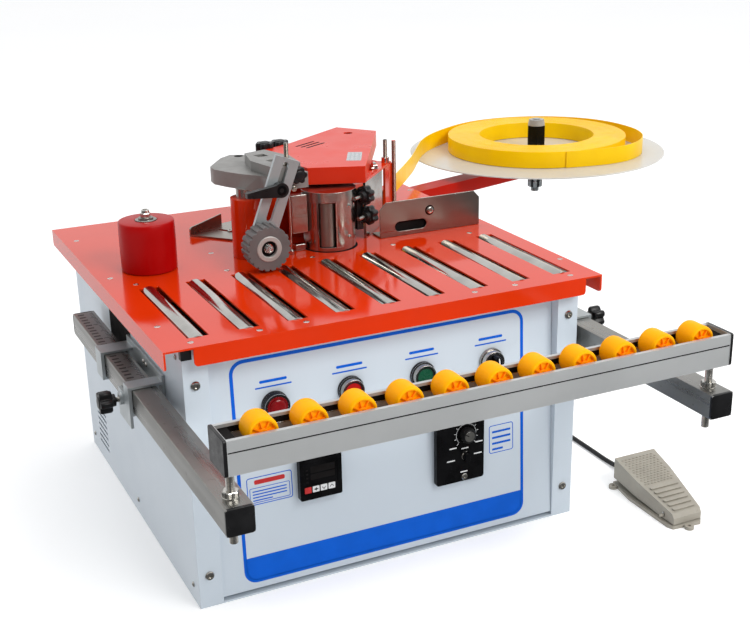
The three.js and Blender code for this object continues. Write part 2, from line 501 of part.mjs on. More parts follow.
// ---------------------------------------------------------------- tape supply
{
  const ang = 16.5, len = 262, hw = 15;
  const ca = Math.cos(rad(ang)), sa = Math.sin(rad(ang));
  const Q = (u, v) => [DISC_X + u * ca - v * sa, DISC_Y + u * sa + v * ca];
  // distance from the disc axis back to the table's flange
  const uEnd = (v) => (TABLE_X + GAP - DISC_X + v * sa) / ca;
  const zt = 293, zb = 274.5, w = 2;
  let arm = prism([Q(uEnd(-hw), -hw), Q(24, -hw), Q(24, hw), Q(uEnd(hw), hw)], zb, zt);
  arm = arm.subtract(prism([Q(-len, -hw + w), Q(22, -hw + w), Q(22, hw - w), Q(-len, hw - w)], zb - 1, zt - w));
  arm = arm.add(box(TABLE_X + GAP, TABLE_X + GAP + 4, 190, 238, 275.2, 293));
  arm = arm.subtract(cyl('z', DISC_X, DISC_Y, 6.4, 260, 300, 20));
  add('tape_arm', arm, C.red, 0.3);

  let sp = cyl('z', DISC_X, DISC_Y, 6, 245, 346, 12);
  sp = sp.add(cyl('z', DISC_X, DISC_Y, 17, 293.3, DISC_Z - GAP, 20));
  sp = sp.add(cyl('z', DISC_X, DISC_Y, 12.5, 307, 347, 20)).add(cyl('z', DISC_X, DISC_Y, 11.5, 347, 356, 20));
  sp = sp.add(cyl('z', DISC_X, DISC_Y, 12, 271.6, 274.2, 16)).add(prism(hexagon(DISC_X, DISC_Y, 19), 262, 272));
  sp = sp.add(prism(hexagon(DISC_X, DISC_Y, 19), 252, 261.5));
  add('tape_spindle', sp, C.black, 0.4, 0.3);

  const disc = turned([[13, DISC_Z], [DISC_R, DISC_Z], [DISC_R, DISC_Z + 2], [13, DISC_Z + 2], [13, DISC_Z]], 64, DISC_X, DISC_Y);
  add('tape_disc', disc, C.white, 0.3);
  const z0 = DISC_Z + 2 + GAP;
  let roll = turned([[COIL_RI, z0], [COIL_RO, z0], [COIL_RO, z0 + TAPE_W], [COIL_RI, z0 + TAPE_W], [COIL_RI, z0]], 56, DISC_X, DISC_Y);
  add('tape_roll', roll, C.yellow, 0.4);

  // loose outer turn of the tape and its lead to the guide: [degrees about the disc, radius], then points on the way in
  const turn = [[-104, 136.3], [-90, 139.5], [-76, 148], [-63, 155.6], [-48, 159.6], [-34, 160], [-20, 157.4], [-6, 153.4], [8, 150.6],
    [22, 148.2], [40, 144], [58, 140.6], [78, 139.2], [98, 140], [114, 141.4], [129, 145]]
    .map(([a, r]) => [DISC_X + r * Math.cos(rad(a)), DISC_Y + r * Math.sin(rad(a))]);
  const lead = [[366, 371], [332, 338], [299, 292], [272, 252], [233, 201], [196, 155], [171, 119], [156.2, 98.2], [133.6, 73.6],
    [126.8, 66.9], [81.5, 17.4], [69, 10.5]];
  const way = new THREE.CatmullRomCurve3([...turn, ...lead].map(([x, y]) => new THREE.Vector3(x, y, 0)), false, 'centripetal');
  const left = [], right = [];
  for (let i = 0; i <= 84; i++) {
    const p = way.getPoint(i / 84), d = way.getTangent(i / 84);
    left.push([p.x - 0.5 * d.y, p.y + 0.5 * d.x]);
    right.push([p.x + 0.5 * d.y, p.y - 0.5 * d.x]);
  }
  add('tape_lead', prism([...left, ...right.reverse()], z0 + 0.1, z0 + TAPE_W), C.yellow, 0.4);
}

// ---------------------------------------------------------------- foot pedal and its cord
const PIVOT_Y = -303;                  // pedal hinge pin
const PIVOT_Z = 9.5;
{
  const lugs = [[309.5, -206], [327, -329], [378, -222]];
  let b = prism([[315, -198], [374, -200], [373, -240], [350, -321], [345, -327], [309, -323], [306, -316], [307, -240]], 0, 4);
  for (const [x, y] of lugs) b = b.add(cyl('z', x, y, 5.5, 0, 4, 14));
  for (const [x, y] of lugs) b = b.subtract(cyl('z', x, y, 2.2, -1, 5, 8));
  b = b.add(prism([[320, -206], [368, -206], [361, -250], [347, -312], [314, -312], [314, -250]], 3, 8));
  b = b.add(prism([[324, -215], [360, -215], [354, -262], [322, -262]], 7, 16));      // switch block
  b = b.add(box(336, 350, -207, -199, 3, 15));                                        // cord socket
  b = b.add(box(316, 319, -308, -298, 7, 13)).add(box(343, 346, -308, -298, 7, 13));  // hinge ears
  b = b.add(cyl('x', PIVOT_Y, PIVOT_Z, 1.8, 305, 353, 14));
  b = b.subtract(cyl('y', 343, 9, 3.3, -204, -197, 16));
  add('pedal_base', b, C.beige, 0.55);

  const side = [[-199, 36], [-318, 17.5], [-322, 13], [-322, 5], [-298, 5], [-214, 9.6], [-199, 9.6]];
  const plan = [[315, -199], [374, -199], [368, -240], [349, -322], [310, -322], [311, -250]];
  const inSide = [[-201.5, 33], [-317, 14.6], [-319.6, 12], [-319.6, 0], [-201.5, 0]];
  const inPlan = [[317.4, -201], [371.2, -201], [365.6, -240], [346.8, -319.6], [312.6, -319.6], [313.4, -250]];
  let t = prismX(side, 300, 380).intersect(prism(plan, 0, 60));
  t = t.subtract(prismX(inSide, 300, 380).intersect(prism(inPlan, -1, 60)));
  t = t.subtract(box(334.5, 351.5, -203, -198, 0, 22));                               // cord notch
  t = t.subtract(cyl('x', PIVOT_Y, PIVOT_Z, 2.3, 300, 360, 14));
  add('pedal_tread', t, C.beige, 0.6);
}
{
  const circle = new THREE.Shape(Array.from({ length: 8 }, (_, i) =>
    new THREE.Vector2(CORD_R * Math.cos(rad(45 * i)), CORD_R * Math.sin(rad(45 * i)))));
  const tube = (pts, steps) => {
    const path = new THREE.CatmullRomCurve3(pts.map(([x, y, z]) => new THREE.Vector3(x, y, z)), false, 'centripetal');
    return solid(new THREE.ExtrudeGeometry(circle, { steps, bevelEnabled: false, extrudePath: path }));
  };
  const cx = COIL_X, cy = COIL_Y + 15, R = COIL_MID_R;
  const rb = 6.6;                      // half thickness of the coiled bundle
  const ring = turned(Array.from({ length: 9 }, (_, i) =>
    [R + rb * Math.cos(rad(45 * i)), rb + 0.1 + rb * Math.sin(rad(45 * i))]), 28, cx, cy);
  let c = tube([[150, 232, 45], [150, 245, 45], [150, 258, 44.4], [149.5, 270, 40], [147.5, 281, 30.5], [143.5, 291, 18],
    [136, 300, 8], [123, 306.5, 3.7], [105, 308.9, 3.2], [82, 308.9, 3.2], [cx, cy - R - 3, 4.4]], 30);
  c = c.add(ring);
  c = c.add(tube([[cx, cy + R - 1, 7.5], [75, 379.2, 9.2], [95, 380.5, 5.8], [118, 380, 3.2], [150, 377, 3.2], [180, 371.5, 3.2],
    [220, 357, 3.2], [260, 334, 3.2], [292, 302, 3.2], [315, 260, 3.2], [330, 206, 3.2], [338, 150, 3.2], [341.5, 86, 3.2],
    [343, 20, 3.2], [343.5, -50, 3.2], [343.4, -110, 3.2], [343, -148, 3.5], [343, -168, 5.2], [343, -184, 8.2],
    [343, -194, 9], [343, -203, 9]], 64));
  add('pedal_cord', c, C.black, 0.5);
}

group.name = 'edge_banding_machine';
export default group;
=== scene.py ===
"""Looks of the edge banding machine: camera, light, materials and detailed pieces
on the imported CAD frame. Numbers are millimetres, and mm() turns them into Blender's metres."""
import json
import math

import bmesh
import bpy
from mathutils import Matrix, Vector


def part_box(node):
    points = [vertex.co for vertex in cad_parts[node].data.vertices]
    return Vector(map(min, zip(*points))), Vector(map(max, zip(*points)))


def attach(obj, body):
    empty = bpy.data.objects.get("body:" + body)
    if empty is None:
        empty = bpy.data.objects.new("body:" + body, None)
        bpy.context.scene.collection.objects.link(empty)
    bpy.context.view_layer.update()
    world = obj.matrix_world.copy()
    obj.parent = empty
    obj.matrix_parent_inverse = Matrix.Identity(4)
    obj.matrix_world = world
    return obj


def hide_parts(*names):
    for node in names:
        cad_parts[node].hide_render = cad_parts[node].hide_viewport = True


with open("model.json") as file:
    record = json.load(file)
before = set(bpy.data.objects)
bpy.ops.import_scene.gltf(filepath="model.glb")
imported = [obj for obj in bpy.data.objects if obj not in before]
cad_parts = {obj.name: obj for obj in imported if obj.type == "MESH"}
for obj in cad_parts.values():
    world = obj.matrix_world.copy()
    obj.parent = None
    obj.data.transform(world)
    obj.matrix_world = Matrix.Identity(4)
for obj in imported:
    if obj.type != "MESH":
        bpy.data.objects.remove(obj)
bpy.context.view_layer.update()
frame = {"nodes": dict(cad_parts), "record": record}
MM = 0.001
BODY = {n: b for b, names in frame["record"]["behaviour"]["bodies"].items() for n in names}
SLOT = {s["node"]: s["material_slot"] for s in frame["record"]["subparts"]}
LEFT, RIGHT, OUT, BACK, UP = (-1, 0, 0), (1, 0, 0), (0, -1, 0), (0, 1, 0), (0, 0, 1)


def mm(*v):
    """A point or a length given in millimetres."""
    return Vector(v) * MM if len(v) > 1 else v[0] * MM


def low(node):
    return Vector(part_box(node)[0])


def high(node):
    return Vector(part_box(node)[1])


def extent(node):
    """A node's lowest and highest corners in millimetres."""
    return low(node) / MM, high(node) / MM


def middle(node):
    return (low(node) + high(node)) / 2


def axis_of(node):
    """The point under a node's middle, on the standing surface."""
    return Vector((middle(node).x, middle(node).y, 0))


# ---------------- camera and light
YAW, PITCH, ROLL = math.radians(25.09), math.radians(20.48), math.radians(-1.22)
CAMERA_AT = (-0.5363, -1.3235, 0.7191)
LENS_MM, SENSOR_MM = 59.88, 36.0
SHIFT = (0.0034, 0.0337)


def make_camera():
    right = Vector((math.cos(YAW), -math.sin(YAW), 0))
    ahead = Vector((math.sin(YAW) * math.cos(PITCH), math.cos(YAW) * math.cos(PITCH), -math.sin(PITCH)))
    up = right.cross(ahead)
    x = math.cos(ROLL) * right + math.sin(ROLL) * up
    y = -math.sin(ROLL) * right + math.cos(ROLL) * up
    data = bpy.data.cameras.new("camera")
    data.sensor_width, data.lens = SENSOR_MM, LENS_MM
    data.shift_x, data.shift_y = SHIFT
    data.clip_start, data.clip_end = 0.05, 60
    cam = bpy.data.objects.new("camera", data)
    bpy.context.scene.collection.objects.link(cam)
    turn = Matrix((x, y, -ahead)).transposed().to_4x4()
    turn.translation = Vector(CAMERA_AT)
    cam.matrix_world = turn
    bpy.context.scene.camera = cam


def area_light(name, at, target, size, power, colour=(1, 1, 1)):
    data = bpy.data.lights.new(name, "AREA")
    data.shape, data.size, data.size_y = "RECTANGLE", size[0], size[1]
    data.energy, data.color = power, colour
    ob = bpy.data.objects.new(name, data)
    bpy.context.scene.collection.objects.link(ob)
    turn = (Vector(target) - Vector(at)).to_track_quat("-Z", "Y").to_matrix().to_4x4()
    ob.matrix_world = Matrix.Translation(at) @ turn


def studio_world():
    """A soft room: bright above and behind the machine, dim in front of it and below."""
    world = bpy.data.worlds.new("studio")
    world.use_nodes = True
    nodes, links = world.node_tree.nodes, world.node_tree.links
    way = nodes.new("ShaderNodeTexCoord")
    dot = nodes.new("ShaderNodeVectorMath")
    dot.operation = "DOT_PRODUCT"
    links.new(way.outputs["Generated"], dot.inputs[0])
    dot.inputs[1].default_value = (0.28, 0.72, 0.63)
    level = nodes.new("ShaderNodeMapRange")
    level.interpolation_type = "SMOOTHSTEP"
    for socket, value in (("From Min", -0.45), ("From Max", 0.60), ("To Min", 0.14), ("To Max", 0.95)):
        level.inputs[socket].default_value = value
    links.new(dot.outputs["Value"], level.inputs["Value"])
    sky = nodes["Background"]
    sky.inputs["Color"].default_value = (0.985, 0.99, 1.0, 1)
    links.new(level.outputs["Result"], sky.inputs["Strength"])
    bpy.context.scene.world = world


make_camera()
studio_world()
bpy.context.scene.view_settings.view_transform = "Standard"
area_light("key", (1.0, -2.3, 2.1), (0, 0, 0.2), (1.6, 1.2), 56, (1.0, 0.99, 0.97))
area_light("fill", (-1.9, -1.3, 1.4), (0.1, 0, 0.2), (1.4, 1.4), 1.2, (1.0, 0.88, 0.72))
area_light("top", (0.2, 0.4, 2.6), (0.1, 0, 0.2), (2.2, 1.8), 12)

# ---------------- materials
EDGE_RADIUS = 0.0012    # how far worn edges reach, metres
GRAIN_DEPTH = 0.0004


def ramp_value(nodes, links, source, lo, hi, out_lo, out_hi):
    r = nodes.new("ShaderNodeMapRange")
    r.inputs["From Min"].default_value, r.inputs["From Max"].default_value = lo, hi
    r.inputs["To Min"].default_value, r.inputs["To Max"].default_value = out_lo, out_hi
    links.new(source, r.inputs["Value"])
    return r.outputs["Result"]


def mix(nodes, links, factor, a, b):
    m = nodes.new("ShaderNodeMix")
    m.data_type = "RGBA"
    links.new(factor, m.inputs["Factor"])
    for sock, v in ((m.inputs["A"], a), (m.inputs["B"], b)):
        if hasattr(v, "links"):
            links.new(v, sock)
        else:
            sock.default_value = (*v, 1)
    return m.outputs["Result"]


def worn_edges(nodes, links):
    """1 on edges and 0 on flat faces."""
    bevel = nodes.new("ShaderNodeBevel")
    bevel.samples = 4
    bevel.inputs["Radius"].default_value = EDGE_RADIUS
    geometry = nodes.new("ShaderNodeNewGeometry")
    dot = nodes.new("ShaderNodeVectorMath")
    dot.operation = "DOT_PRODUCT"
    links.new(bevel.outputs["Normal"], dot.inputs[0])
    links.new(geometry.outputs["Normal"], dot.inputs[1])
    return ramp_value(nodes, links, dot.outputs["Value"], 0.995, 0.90, 0, 1)


def finish(name, base, rough, metal=0.0, vary=0.12, scale=14.0, rough_vary=0.08, bump=0.05, grain=900.0,
           stretch=(1, 1, 1), coat=0.0, ior=1.5, wear=None, specks=None, emit=None):
    """A procedural finish: blotchy colour, uneven gloss, fine grain, and edges worn to a colour by an
    amount. specks is a scale and a colour, and emit a colour and a strength."""
    mat = bpy.data.materials.new(name)
    mat.use_nodes = True
    nodes, links = mat.node_tree.nodes, mat.node_tree.links
    bsdf = nodes["Principled BSDF"]
    plain = nodes.new("ShaderNodeTexCoord").outputs["Object"]
    mapping = nodes.new("ShaderNodeMapping")
    mapping.inputs["Scale"].default_value = stretch
    links.new(plain, mapping.inputs["Vector"])
    drawn = mapping.outputs["Vector"]

    def noise(size, detail, vector):
        t = nodes.new("ShaderNodeTexNoise")
        t.inputs["Scale"].default_value, t.inputs["Detail"].default_value = size, detail
        links.new(vector, t.inputs["Vector"])
        return t.outputs["Fac"]

    blotches = ramp_value(nodes, links, noise(scale, 4.0, plain), 0.32, 0.68, 0, 1)
    dark = tuple(c * (1 - vary) for c in base)
    light = tuple(min(1.0, c * (1 + vary) + 0.012 * vary) for c in base)
    colour = mix(nodes, links, blotches, dark, light)
    if specks:
        dots = ramp_value(nodes, links, noise(specks[0], 2.0, plain), 0.66, 0.74, 0, 0.7)
        colour = mix(nodes, links, dots, colour, specks[1])
    if wear:
        patches = ramp_value(nodes, links, noise(scale * 9, 5.0, plain), 0.45, 0.62, 0, wear[1])
        worn = nodes.new("ShaderNodeMath")
        worn.operation = "MULTIPLY"
        links.new(worn_edges(nodes, links), worn.inputs[0])
        links.new(patches, worn.inputs[1])
        colour = mix(nodes, links, worn.outputs["Value"], colour, wear[0])
    links.new(colour, bsdf.inputs["Base Color"])
    smear = noise(scale * 3.1, 5.0, drawn)
    gloss = ramp_value(nodes, links, smear, 0.3, 0.7, max(0.02, rough - rough_vary), rough + rough_vary)
    links.new(gloss, bsdf.inputs["Roughness"])
    bumps = nodes.new("ShaderNodeBump")
    bumps.inputs["Strength"].default_value, bumps.inputs["Distance"].default_value = bump, GRAIN_DEPTH
    links.new(noise(grain, 3.0, drawn), bumps.inputs["Height"])
    links.new(bumps.outputs["Normal"], bsdf.inputs["Normal"])
    for socket, value in (("Metallic", metal), ("IOR", ior), ("Coat Weight", coat), ("Coat Roughness", 0.06)):
        bsdf.inputs[socket].default_value = value
    if emit:
        bsdf.inputs["Emission Color"].default_value = (*emit[0], 1)
        bsdf.inputs["Emission Strength"].default_value = emit[1]
    return mat


WHITE = finish("paint_white", (0.56, 0.63, 0.70), 0.34, vary=0.018, scale=5, rough_vary=0.05,
    bump=0.06, grain=420, coat=0.1, wear=((0.42, 0.44, 0.46), 0.35))
RED = finish("paint_red", (0.65, 0.030, 0.001), 0.10, vary=0.04, scale=7, rough_vary=0.04,
    bump=0.03, grain=160, ior=1.42, wear=((0.80, 0.16, 0.06), 0.5))
COVER = finish("cover_red", (0.68, 0.022, 0.001), 0.30, vary=0.03, scale=9, rough_vary=0.04,
    bump=0.03, grain=500, ior=1.38, wear=((0.85, 0.22, 0.12), 0.4))
# the tape arm's red, darker than the table's paint to paint the disc's shadow over it
RED_PAINTED_SHADE = finish("arm_red_painted_shade", (0.44, 0.008, 0.001), 0.30, vary=0.05, scale=9, rough_vary=0.05,
    bump=0.03, grain=200, ior=1.22, wear=((0.60, 0.08, 0.03), 0.5))
CHROME = finish("chrome", (0.50, 0.49, 0.46), 0.11, 1.0, scale=30, rough_vary=0.06, grain=500,
    stretch=(3, 0.05, 3))
CHROME_Z = finish("roller_steel", (0.30, 0.30, 0.275), 0.40, 1.0, vary=0.14, scale=30,
    rough_vary=0.06, grain=500, stretch=(3, 3, 0.05))
ALU = finish("aluminium", (0.51, 0.525, 0.53), 0.34, 0.45, vary=0.05, scale=12, rough_vary=0.07,
    bump=0.06, stretch=(0.02, 2, 2), wear=((0.75, 0.75, 0.75), 0.5))
STEEL = finish("steel", (0.42, 0.40, 0.37), 0.20, 1.0, vary=0.10, scale=16, rough_vary=0.07,
    grain=700, stretch=(0.08, 2, 2), wear=((0.75, 0.74, 0.72), 0.5))
ARM_STEEL = finish("arm_steel", (0.27, 0.265, 0.25), 0.30, 0.9, scale=11, rough_vary=0.10, bump=0.08,
    grain=600, stretch=(2, 0.06, 2), wear=((0.5, 0.5, 0.48), 0.6),
    specks=(160, (0.17, 0.16, 0.145)))
STAINLESS = finish("stainless", (0.34, 0.31, 0.275), 0.30, 1.0, vary=0.06, scale=10, rough_vary=0.05,
    bump=0.04, grain=800, stretch=(0.04, 2, 2), wear=((0.85, 0.84, 0.82), 0.6))
ZINC = finish("zinc", (0.44, 0.48, 0.495), 0.34, 0.6, vary=0.06, scale=34, rough_vary=0.05, bump=0.03,
    grain=420, wear=((0.55, 0.58, 0.59), 0.3))
BRIGHT = finish("bright_screw", (0.58, 0.565, 0.53), 0.16, 1.0, vary=0.16, scale=90,
    rough_vary=0.07, bump=0.08, grain=1400)
ROD = finish("threaded_rod", (0.20, 0.18, 0.15), 0.30, 0.9, vary=0.20, scale=90, bump=0.08,
    grain=1400)
BLACK = finish("black_plastic", (0.006, 0.006, 0.007), 0.34, vary=0.3, scale=40, bump=0.14,
    grain=1500, ior=1.40, wear=((0.03, 0.03, 0.03), 0.6))
GLOSS_BLACK = finish("gloss_black", (0.0025, 0.0025, 0.003), 0.16, vary=0.25, scale=40,
    rough_vary=0.05, bump=0.02, grain=300, ior=1.22)
# near black: painted shade in gaps, holes, slots and openings, and the dark glass of the controller's
# displays
DARK = finish("painted_shade_and_display_glass", (0.006, 0.005, 0.005), 0.8, vary=0.3, scale=30, bump=0.1,
    ior=1.2)
CAST = finish("cast_grey", (0.235, 0.230, 0.220), 0.46, 0.1, vary=0.06, scale=26,
    rough_vary=0.07, bump=0.25, grain=420, wear=((0.36, 0.36, 0.35), 0.5),
    specks=(420, (0.19, 0.19, 0.185)))
RUBBER = finish("rubber_grey", (0.125, 0.115, 0.115), 0.55, vary=0.10, scale=60, bump=0.22,
    wear=((0.20, 0.20, 0.20), 0.5))
HUB = finish("hub_grey", (0.42, 0.41, 0.39), 0.38, 0.2, vary=0.08, scale=70, bump=0.12)
PU = finish("red_polyurethane", (0.40, 0.0006, 0.0010), 0.34, vary=0.04, scale=22,
    rough_vary=0.04, bump=0.02, grain=260, ior=1.25, wear=((0.45, 0.02, 0.01), 0.2))
DISC = finish("white_disc", (0.60, 0.585, 0.545), 0.22, vary=0.04, scale=6, rough_vary=0.05,
    bump=0.03, grain=240, ior=1.42, wear=((0.8, 0.79, 0.77), 0.4))
TAPE = finish("yellow_tape", (1.0, 0.60, 0.0005), 0.34, vary=0.05, scale=24, rough_vary=0.06,
    bump=0.06, grain=500, stretch=(1, 1, 0.2), ior=1.28, wear=((1.0, 0.56, 0.03), 0.4))
# the rollers' orange plastic, with a faint emission that paints a glow on them though they are no lamp
GLOWING_ORANGE = finish("orange_plastic", (1.0, 0.42, 0.0003), 0.42, vary=0.04, scale=60,
    rough_vary=0.06, bump=0.06, grain=700, ior=1.16, wear=((1.0, 0.50, 0.04), 0.5),
    emit=((1.0, 0.36, 0.0), 0.06))
# the ribs in the rollers' hollows: a darker orange that paints the shade in the hollows, with a faint painted
# glow
ORANGE_SHADED_GLOWING = finish("orange_painted_shade_and_glow", (1.0, 0.27, 0.001), 0.46, vary=0.08, scale=80,
    bump=0.08, grain=700, ior=1.2, emit=((1.0, 0.20, 0.0), 0.10))
LENS = finish("red_lens", (0.20, 0.001, 0.003), 0.14, vary=0.15, scale=80, rough_vary=0.04)
GREEN = finish("green_plastic", (0.003, 0.075, 0.034), 0.28, scale=80, ior=1.42)
BEIGE = finish("beige_plastic", (0.36, 0.335, 0.285), 0.5, vary=0.07, scale=40, bump=0.22,
    ior=1.4, wear=((0.46, 0.44, 0.39), 0.6), specks=(300, (0.28, 0.26, 0.22)))
CORD = finish("black_cord", (0.005, 0.005, 0.006), 0.42, vary=0.3, scale=90, bump=0.10,
    grain=1400, ior=1.4)
BLUE = finish("blue_print", (0.0005, 0.105, 0.60), 0.40, vary=0.05, scale=50, bump=0.03,
    grain=800, ior=1.2)
WHITE_PRINT = finish("white_print", (0.72, 0.73, 0.74), 0.45, vary=0.06, scale=90)
RED_PRINT = finish("red_print", (0.55, 0.01, 0.01), 0.4, vary=0.08, scale=90)
FOIL = finish("foil_label", (0.50, 0.52, 0.54), 0.25, 0.5, vary=0.08, scale=120)
FLOOR = finish("floor", (0.84, 0.845, 0.85), 0.8, vary=0.01, scale=1.2, bump=0.02, grain=60,
    emit=((1, 1, 1), 0.32))


# ---------------- places, outlines and profiles
def place(origin, x, y):
    """The matrix whose columns are x, y and their cross product, set at origin (metres)."""
    x, y = Vector(x).normalized(), Vector(y).normalized()
    m = Matrix((x, y, x.cross(y))).transposed().to_4x4()
    m.translation = Vector(origin)
    return m


def upright(at):
    """Outlines in x and z from a point in metres, pushed towards -Y."""
    return place(at, RIGHT, UP)


def level(z):
    """Outlines in x and y at a height, pushed up."""
    return place(mm(0, 0, z), RIGHT, BACK)


def lift(where, t):
    """The same place, moved along its own Z."""
    return where @ Matrix.Translation((0, 0, mm(t)))


def sides(axis):
    """Two directions square to an axis, so that their cross product is the axis."""
    a = Vector(axis).normalized()
    x = Vector(UP).cross(a) if abs(a.z) < 0.9 else Vector(RIGHT)
    return x.normalized(), a.cross(x.normalized())


def polar(r, a):
    return r * math.cos(a), r * math.sin(a)


def circle(n):
    """The angles of n points round a circle."""
    return [math.tau * i / n for i in range(n)]


def round_rect(x0, x1, y0, y1, r, n=6):
    points = []
    centres = ((x1 - r, y0 + r), (x1 - r, y1 - r), (x0 + r, y1 - r), (x0 + r, y0 + r))
    for corner, (cx, cy) in enumerate(centres):
        for i in range(n + 1):
            dx, dy = polar(r, math.radians(90 * (corner - 1 + i / n)))
            points.append((cx + dx, cy + dy))
    return points


def star(r, lobes, depth, n=72):
    """Outline of a star knob with round lobes."""
    return [polar(r * (1 - depth * (0.5 - 0.5 * math.cos(lobes * t)) ** 1.6), t) for t in circle(n)]


def hexagon(flats):
    return [polar(flats / math.sqrt(3), t) for t in circle(6)]


def bar(p, q, half):
    """A narrow rectangle between two points of a plane."""
    dx, dy = q[0] - p[0], q[1] - p[1]
    k = half / math.hypot(dx, dy)
    return [(p[0] - k * dy, p[1] + k * dx), (p[0] + k * dy, p[1] - k * dx),
            (q[0] + k * dy, q[1] - k * dx), (q[0] - k * dy, q[1] + k * dx)]


def rod(r, t0, t1):
    """Lathe profile of a plain round bar."""
    return [(0, t0), (r, t0), (r, t1), (0, t1)]


def washer(r0, r1, t0, t1):
    """Lathe profile of a flat ring."""
    return [(r1, t0), (r0, t0), (r0, t1), (r1, t1), (r1, t0)]


def thread(t0, t1, r, pitch=1.0, depth=0.3):
    """Lathe profile of a threaded rod between two heights."""
    points = [(0, t0), (r - depth, t0)]
    n = int((t1 - t0) / pitch)
    for i in range(n):
        t = t0 + (t1 - t0) * i / n
        points += [(r - depth, t + 0.1 * pitch), (r, t + 0.5 * pitch)]
    return points + [(r - depth, t1), (r - depth - 0.4, t1), (0, t1)]


# ---------------- meshes
class Build:
    """Gathers simple solids in one mesh; done() turns them into a piece."""

    def __init__(self):
        self.bm = bmesh.new()

    def skin(self, a, b):
        """Faces between two closed loops of vertices; a loop of one vertex is a tip."""
        n = max(len(a), len(b))
        for i in range(n):
            quad = [a[i % len(a)], a[(i + 1) % len(a)], b[(i + 1) % len(b)], b[i % len(b)]]
            face = [v for k, v in enumerate(quad) if v not in quad[:k]]
            if len(face) > 2:
                self.bm.faces.new(face)

    def loft(self, loops, ends=True):
        """Skins each loop of points (metres) to the next, and closes both ends or joins last to first."""
        rows = [[self.bm.verts.new(p) for p in loop] for loop in loops]
        for a, b in zip(rows, rows[1:] + ([] if ends else rows[:1])):
            self.skin(a, b)
        if ends:
            self.bm.faces.new(list(reversed(rows[0])))
            self.bm.faces.new(rows[-1])
        return self

    def lathe(self, profile, at, axis=UP, segments=40):
        """Turns (radius, distance) points about an axis from a point in metres."""
        turn = Vector(axis).to_track_quat("Z", "Y").to_matrix()
        rings = []
        for r, t in profile:
            around = [polar(r, a) for a in circle(segments)] if r else [(0, 0)]
            rings.append([self.bm.verts.new(Vector(at) + turn @ mm(x, y, t)) for x, y in around])
        for a, b in zip(rings, rings[1:]):
            if len(a) + len(b) > 2:
                self.skin(a, b)
        return self

    def prism(self, outline, where, depth):
        """A flat outline pushed along a place's Z."""
        return self.loft([[where @ mm(x, y, t) for x, y in outline] for t in (0, depth)])

    def box(self, x, y, z):
        """A box from its limits along the three axes."""
        corners = ((x[0], y[0]), (x[1], y[0]), (x[1], y[1]), (x[0], y[1]))
        return self.loft([[mm(u, v, t) for u, v in corners] for t in z])

    def ring(self, outer, inner, where, depth=0.12):
        """A flat band between two outlines with as many points."""
        pairs = ((inner, 0), (outer, 0), (outer, depth), (inner, depth))
        return self.loft([[where @ mm(x, y, t) for x, y in outline] for outline, t in pairs], ends=False)

    def strip(self, x, y, where, depth=0.12, r=0.4):
        """A thin printed bar on a plane, from its limits along two axes."""
        return self.prism(round_rect(*x, *y, r, 3), where, depth)

    def stepped(self, outline, where, steps, thick):
        """An outline lofted through (scale, part of the thickness) steps."""
        return self.loft([[where @ mm(x * s, y * s, thick * t) for x, y in outline] for s, t in steps])

    def hex_nut(self, at, axis, flats, thick):
        """A hexagon nut or head with its corners turned off, from a point along an axis."""
        steps = ((0.93, 0), (1, 0.12), (1, 0.86), (0.92, 1.0))
        return self.stepped(hexagon(flats), place(at, *sides(axis)), steps, thick)

    def star_knob(self, at, axis, r, lobes, thick, depth=0.28):
        """A moulded star knob whose back face stands at a point, with a round boss on its front."""
        steps = ((0.90, 0.0), (1.0, 0.12), (1.0, 0.84), (0.93, 1.0))
        self.stepped(star(r, lobes, depth), place(at, *sides(axis)), steps, thick)
        boss = [(0, -0.3), (0.55 * r, -0.3), (0.55 * r, 0.5), (0.44 * r, 1.0), (0.2 * r, 1.0), (0, 0.6)]
        return self.lathe([(q, thick + t) for q, t in boss], at, axis, 28)

    def screw(self, at, axis, r=3.0, height=1.6):
        """A domed screw head with a socket, standing on a point in metres."""
        head = ((1, 0.35), (0.82, 0.8), (0.52, 1), (0.42, 1), (0.38, 0.25), (0, 0.2))
        return self.lathe([(r, -0.3)] + [(r * s, height * t) for s, t in head], at, axis, 20)

    def flush_screw(self, at, axis, r):
        """A countersunk head, almost level with its face."""
        head = ((1, -0.2), (1, 0.12), (0.9, 0.3), (0.45, 0.32), (0.34, -0.1), (0, -0.15))
        return self.lathe([(r * s, t) for s, t in head], at, axis, 20)

    def node(self, name):
        """A copy of a CAD node's mesh, with its flat faces made whole again."""
        source = frame["nodes"][name]
        copy = bmesh.new()
        copy.from_mesh(source.data)
        copy.transform(source.matrix_world)
        bmesh.ops.remove_doubles(copy, verts=copy.verts, dist=2e-6)
        bmesh.ops.dissolve_limit(copy, angle_limit=math.radians(0.6), verts=copy.verts, edges=copy.edges)
        temp = bpy.data.meshes.new("copy")
        copy.to_mesh(temp)
        copy.free()
        self.bm.from_mesh(temp)
        bpy.data.meshes.remove(temp)
        return self

    def done(self, name, mat, body="machine", slot=None, bevel=0.0, segments=2, angle=32, replaces=()):
        """Makes the piece, smooth but for edges sharper than an angle, on its body. Its slot argument is not
        used.
        """
        bmesh.ops.recalc_face_normals(self.bm, faces=self.bm.faces)
        mesh = bpy.data.meshes.new(name)
        self.bm.to_mesh(mesh)
        self.bm.free()
        mesh.shade_smooth()
        mesh.set_sharp_from_angle(angle=math.radians(angle))
        mesh.materials.append(mat)
        ob = bpy.data.objects.new(name, mesh)
        bpy.context.scene.collection.objects.link(ob)
        if bevel:
            edges = ob.modifiers.new("edges", "BEVEL")
            edges.width, edges.segments = mm(bevel), segments
            edges.limit_method, edges.angle_limit = "ANGLE", math.radians(angle)
            edges.harden_normals = True
        if replaces:
            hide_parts(*replaces)
        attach(ob, body)
        return ob

